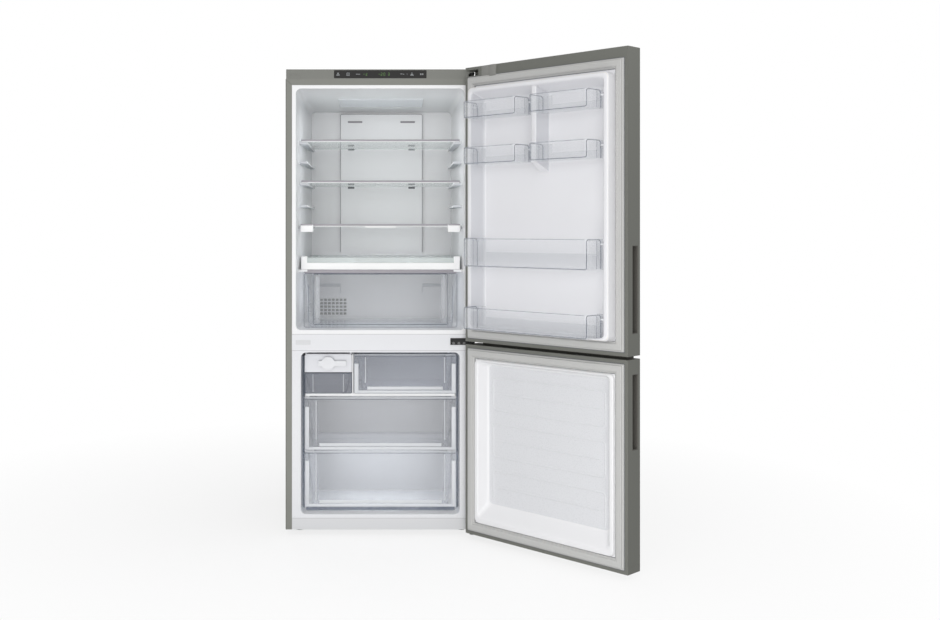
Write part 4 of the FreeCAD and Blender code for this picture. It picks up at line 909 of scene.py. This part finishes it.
def door_liner_sections(plate, ring, widths, drafts, height, recess, rounding):
    """Outlines of a door liner from its back, over the raised ring, down to the sunk panel."""
    half, z0, z1 = ring
    side, top, bottom = widths
    side_draft, top_draft, low_draft = drafts
    wall = 2 * MM
    inner, a0, a1 = half - side, z0 + bottom, z1 - top
    face = DOOR_INNER
    rows = [(inner - side_draft + wall, a0 + low_draft - wall, a1 - top_draft + wall, 0.012, face - recess - wall),
            (inner + wall, a0 - wall, a1 + wall, 0.012, face - wall),
            (*plate, 0.003, face - wall),
            (*plate, 0.003, face)]
    # The hollow where the ring rises from the plate
    foot = min(0.004, height * 0.4)
    for k in range(4):
        turn = math.radians(90 * k / 3)
        out = min(foot, 0.003) * (1 - math.sin(turn))
        rows.append((half + out, z0 - out, z1 + out, 0.018 + out, face + foot * (1 - math.cos(turn))))
    # The ring's outer edge
    crown = min(rounding, height * 0.55)
    for k in range(6):
        turn = math.radians(90 * k / 5)
        cut = crown * (1 - math.cos(turn))
        across, above, below = (min(cut, width * 0.45) for width in widths)
        rows.append((half - across, z0 + below, z1 - above, 0.018, face + height - crown * (1 - math.sin(turn))))
    # The ring's inner edge, its slope and the hollow at the panel: share of the fall, and distance from the slope
    fall = height + recess
    start = min(0.16, 0.006 / fall)
    steps = [k / 5 for k in range(6)]
    line = [(start * q * q, -0.005 * (1 - q) ** 2) for q in steps]
    line.append((0.45, 0.0))
    line += [(0.78 * (1 - q) ** 2 + 2 * q * (1 - q) + q * q, q * q * 0.012) for q in steps]
    for share, extra in line:
        across, above, below = (draft * share + max(extra, -width * 0.4) for draft, width in zip(drafts, widths))
        rows.append((inner - across, a0 + below, a1 - above, 0.016, face + height - fall * share))
    return rows


class FRIDGE_OT_doors(bpy.types.Operator):
    """Builds the door liners and dresses the skins, caps and grips"""
    bl_idname = "fridge.doors"
    bl_label = "Doors"

    def execute(self, context):
        s = context.scene.fridge_sizes
        for door in DOORS:
            for part in ("_skin", "_foam"):
                dress(door + part)
            for part in ("_top_cap", "_bottom_cap"):
                soften(door + part, s.edge, "steel")
            soften(door + "_handle", s.thin_edge, "grip")
        self.hinge_block(s.edge)
        # A dark strip along the freezer door's top that fills the gap between the doors: painted shade
        slabs("freezer_door_top_lip", "grip", "freezer_door_top_cap", [
            (-0.335, 0.310, DOOR_INNER - 56 * MM, DOOR_INNER - 50 * MM, 0.7085, 0.7175)], s.fine_edge)
        # Faces of the well's wall on the hinge side get the greyer second look: painted shade
        near, far = 0.2, 0.29
        self.liner("fridge_door", s.dike_edge, ("door_liner", "rib"),
                   lambda place, normal: normal.x < -0.5 and near < place.x < far, (self.add_fin, self.add_lugs))
        # The raised ring and its slopes, the bottom ledge among them, get the brighter white_liner and the sunk panel
        # the freezer white: painted light
        panel = DOOR_INNER - 29 * MM
        self.liner("freezer_door", s.dike_edge, ("freezer_liner", "white_liner"), lambda place, normal: place.y > panel)
        grown("freezer_door_panels", outlined_panels, {
            "Count": s.panel_count, "Pitch": s.panel_pitch, "Width": s.panel_width, "Height": s.panel_height,
            "Corner": 0.014, "Bead": s.panel_bead, "Bar": s.panel_width - 44 * MM,
            "First": (0.0, DOOR_INNER - 30.4 * MM, 0.201)}, "freezer_liner", "freezer_door_liner")
        return {"FINISHED"}

    def hinge_block(self, width):
        """The raised end of the fridge door's top cap beside the hinge's notch."""
        low, high = 1.679, 1.719
        near = DOOR_INNER - 4 * MM
        slabs("fridge_door_hinge_block", "cap", "fridge_door_top_cap", [
            (0.230, 0.272, near, DOOR_INNER + 1.5 * MM, low, high - MM, width * 0.5),
            (0.202, 0.232, near, DOOR_INNER + 6 * MM, low - MM, high)], width)

    def liner(self, door, rounding, looks, second, additions=()):
        """A door's inner face with its raised ring."""
        bm = bmesh.new()
        loft(bm, door_liner_sections(*DOOR_LINERS[door], rounding))
        bmesh.ops.recalc_face_normals(bm, faces=bm.faces)
        pick(bm, second)
        for add in additions:
            add(bm)
        piece(door + "_liner_rounded", bm, looks, door + "_liner", True)

    def add_fin(self, bm):
        """The upright rib between the half baskets; its sides take the greyer second look, painted shade."""
        low, high = 1.326, 1.621
        near, far = DOOR_INNER - 12 * MM, DOOR_INNER + 43 * MM
        foot, crest = 0.022, 0.010
        base, face = ([(-half, y, z0), (half, y, z0), (half, y, z1), (-half, y, z1)] for half, y, z0, z1 in (
            (foot, near, low, high - 23 * MM), (crest, far, low + 33 * MM, high)))
        add_block(bm, base, face, 4 * MM, 3, lambda edge: any(abs(v.co.y - far) < 1e-6 for v in edge.verts),
                  lambda place, normal: abs(normal.x) > 0.8)

    def add_lugs(self, bm):
        """Pegs under the baskets' ledges, from each end to the ring or the rib."""
        ring, gap = 0.283, 0.3 * MM
        for name, x0, x1, z, height in BASKETS:
            top = z + height - 14.3 * MM
            left = 0.0 if x0 > 0 else -ring
            right = 0.0 if x1 < 0 else ring
            for a, b in ((left, x0 - gap), (x1 + gap, right)):
                add_box(bm, a, b, DOOR_INNER + 20 * MM, DOOR_INNER + 34 * MM, top - 5 * MM, top, MM)


class FRIDGE_OT_seals(bpy.types.Operator):
    """Builds the seals round the doors"""
    bl_idname = "fridge.seals"
    bl_label = "Seals"

    def execute(self, context):
        margin = 0.014
        for door, (low, high, top) in DOORS.items():
            self.seal(door, SIDE - margin, low + margin, high - top)
        return {"FINISHED"}

    def seal(self, door, half, low, high):
        """A door's seal, and a dark line of painted shade along each of its edges."""
        def ring(bm, profile):
            sections = [(inset * MM, DOOR_INNER + rise * MM) for inset, rise in profile]
            loft(bm, [(half - inset, low + inset, high - inset, 2 * MM, y) for inset, y in sections], 2, False)

        bm = bmesh.new()
        ring(bm, SEAL_PROFILE)
        piece(door + "_seal", bm, "seal", door + "_gasket", True, 50)
        bm = bmesh.new()
        for left, right in ((-2.3, -0.5), (32.5, 34.3)):
            ring(bm, ((left, -0.5), (left, 0.6), (right, 0.6), (right, -0.5)))
        piece(door + "_seal_lines", bm, "shade", door + "_gasket")


class FRIDGE_OT_baskets(bpy.types.Operator):
    """Dresses the clear baskets of the fridge door and draws their thick edges"""
    bl_idname = "fridge.baskets"
    bl_label = "Door baskets"

    def execute(self, context):
        s = context.scene.fridge_sizes
        for basket in BASKETS:
            soften(basket[0], s.fine_edge)
            self.edges(*basket, s.basket_bead, s.basket_bend)
        return {"FINISHED"}

    def edges(self, name, x0, x1, z, height, bead, bend_radius):
        """Beads round the end walls, down the front corners and along the front's bottom and top."""
        inset, bent, cut = 1.6 * MM, 12 * MM, 3.3 * MM
        front, back = DOOR_INNER + 0.108 - inset, DOOR_INNER + 0.030
        low, high = z + inset, z + height - inset
        points = []
        for side, x in ((1, x0), (-1, x1)):
            wall, corner = x + side * inset, x + side * (inset + cut)
            run = [(wall, back, low), (wall, back, high), (wall, front - bent, high), (corner, front - cut, high),
                   (corner, front - cut, low), (x + side * bent, front, low)]
            points += run if side > 0 else reversed(run)
        top = [[(x0 + bent, front, high), (x1 - bent, front, high)]]
        top += [[(x, back + 22 * MM, end) for end in (low, high - 3 * MM)] for x in (x0 + inset, x1 - inset)]
        for suffix, paths, radius, corner in (("_edge", [points], bead, bend_radius),
                                              ("_top_edge", top, bead * 0.5, 0.0)):
            grown(name + suffix, edge_bead, {"Radius": radius, "Bend": corner}, "bead", name, path_mesh(paths))


class FRIDGE_PT_panel(bpy.types.Panel):
    """Lists the pieces in the sidebar"""
    bl_idname = "FRIDGE_PT_panel"
    bl_label = "Fridge freezer"
    bl_space_type = "VIEW_3D"
    bl_region_type = "UI"
    bl_category = "Fridge"

    def draw(self, context):
        for operator in OPERATORS:
            self.layout.operator(operator.bl_idname)


OPERATORS = (FRIDGE_OT_stage, FRIDGE_OT_cabinet, FRIDGE_OT_fridge_room, FRIDGE_OT_freezer_room, FRIDGE_OT_doors,
             FRIDGE_OT_seals, FRIDGE_OT_baskets)
GROUPS = {"fridge_finishes": FridgeFinishes, "fridge_sizes": FridgeSizes, "fridge_stage": FridgeStage}
CLASSES = (*GROUPS.values(), *OPERATORS, FRIDGE_PT_panel)


def register():
    for kind in CLASSES:
        bpy.utils.register_class(kind)
    for name, group in GROUPS.items():
        setattr(bpy.types.Scene, name, PointerProperty(type=group))


def unregister():
    for name in GROUPS:
        delattr(bpy.types.Scene, name)
    for kind in reversed(CLASSES):
        bpy.utils.unregister_class(kind)


def main():
    register()
    for operator in OPERATORS:
        area, name = operator.bl_idname.split(".")
        getattr(getattr(bpy.ops, area), name)()


if __name__ == "__main__":
    main()
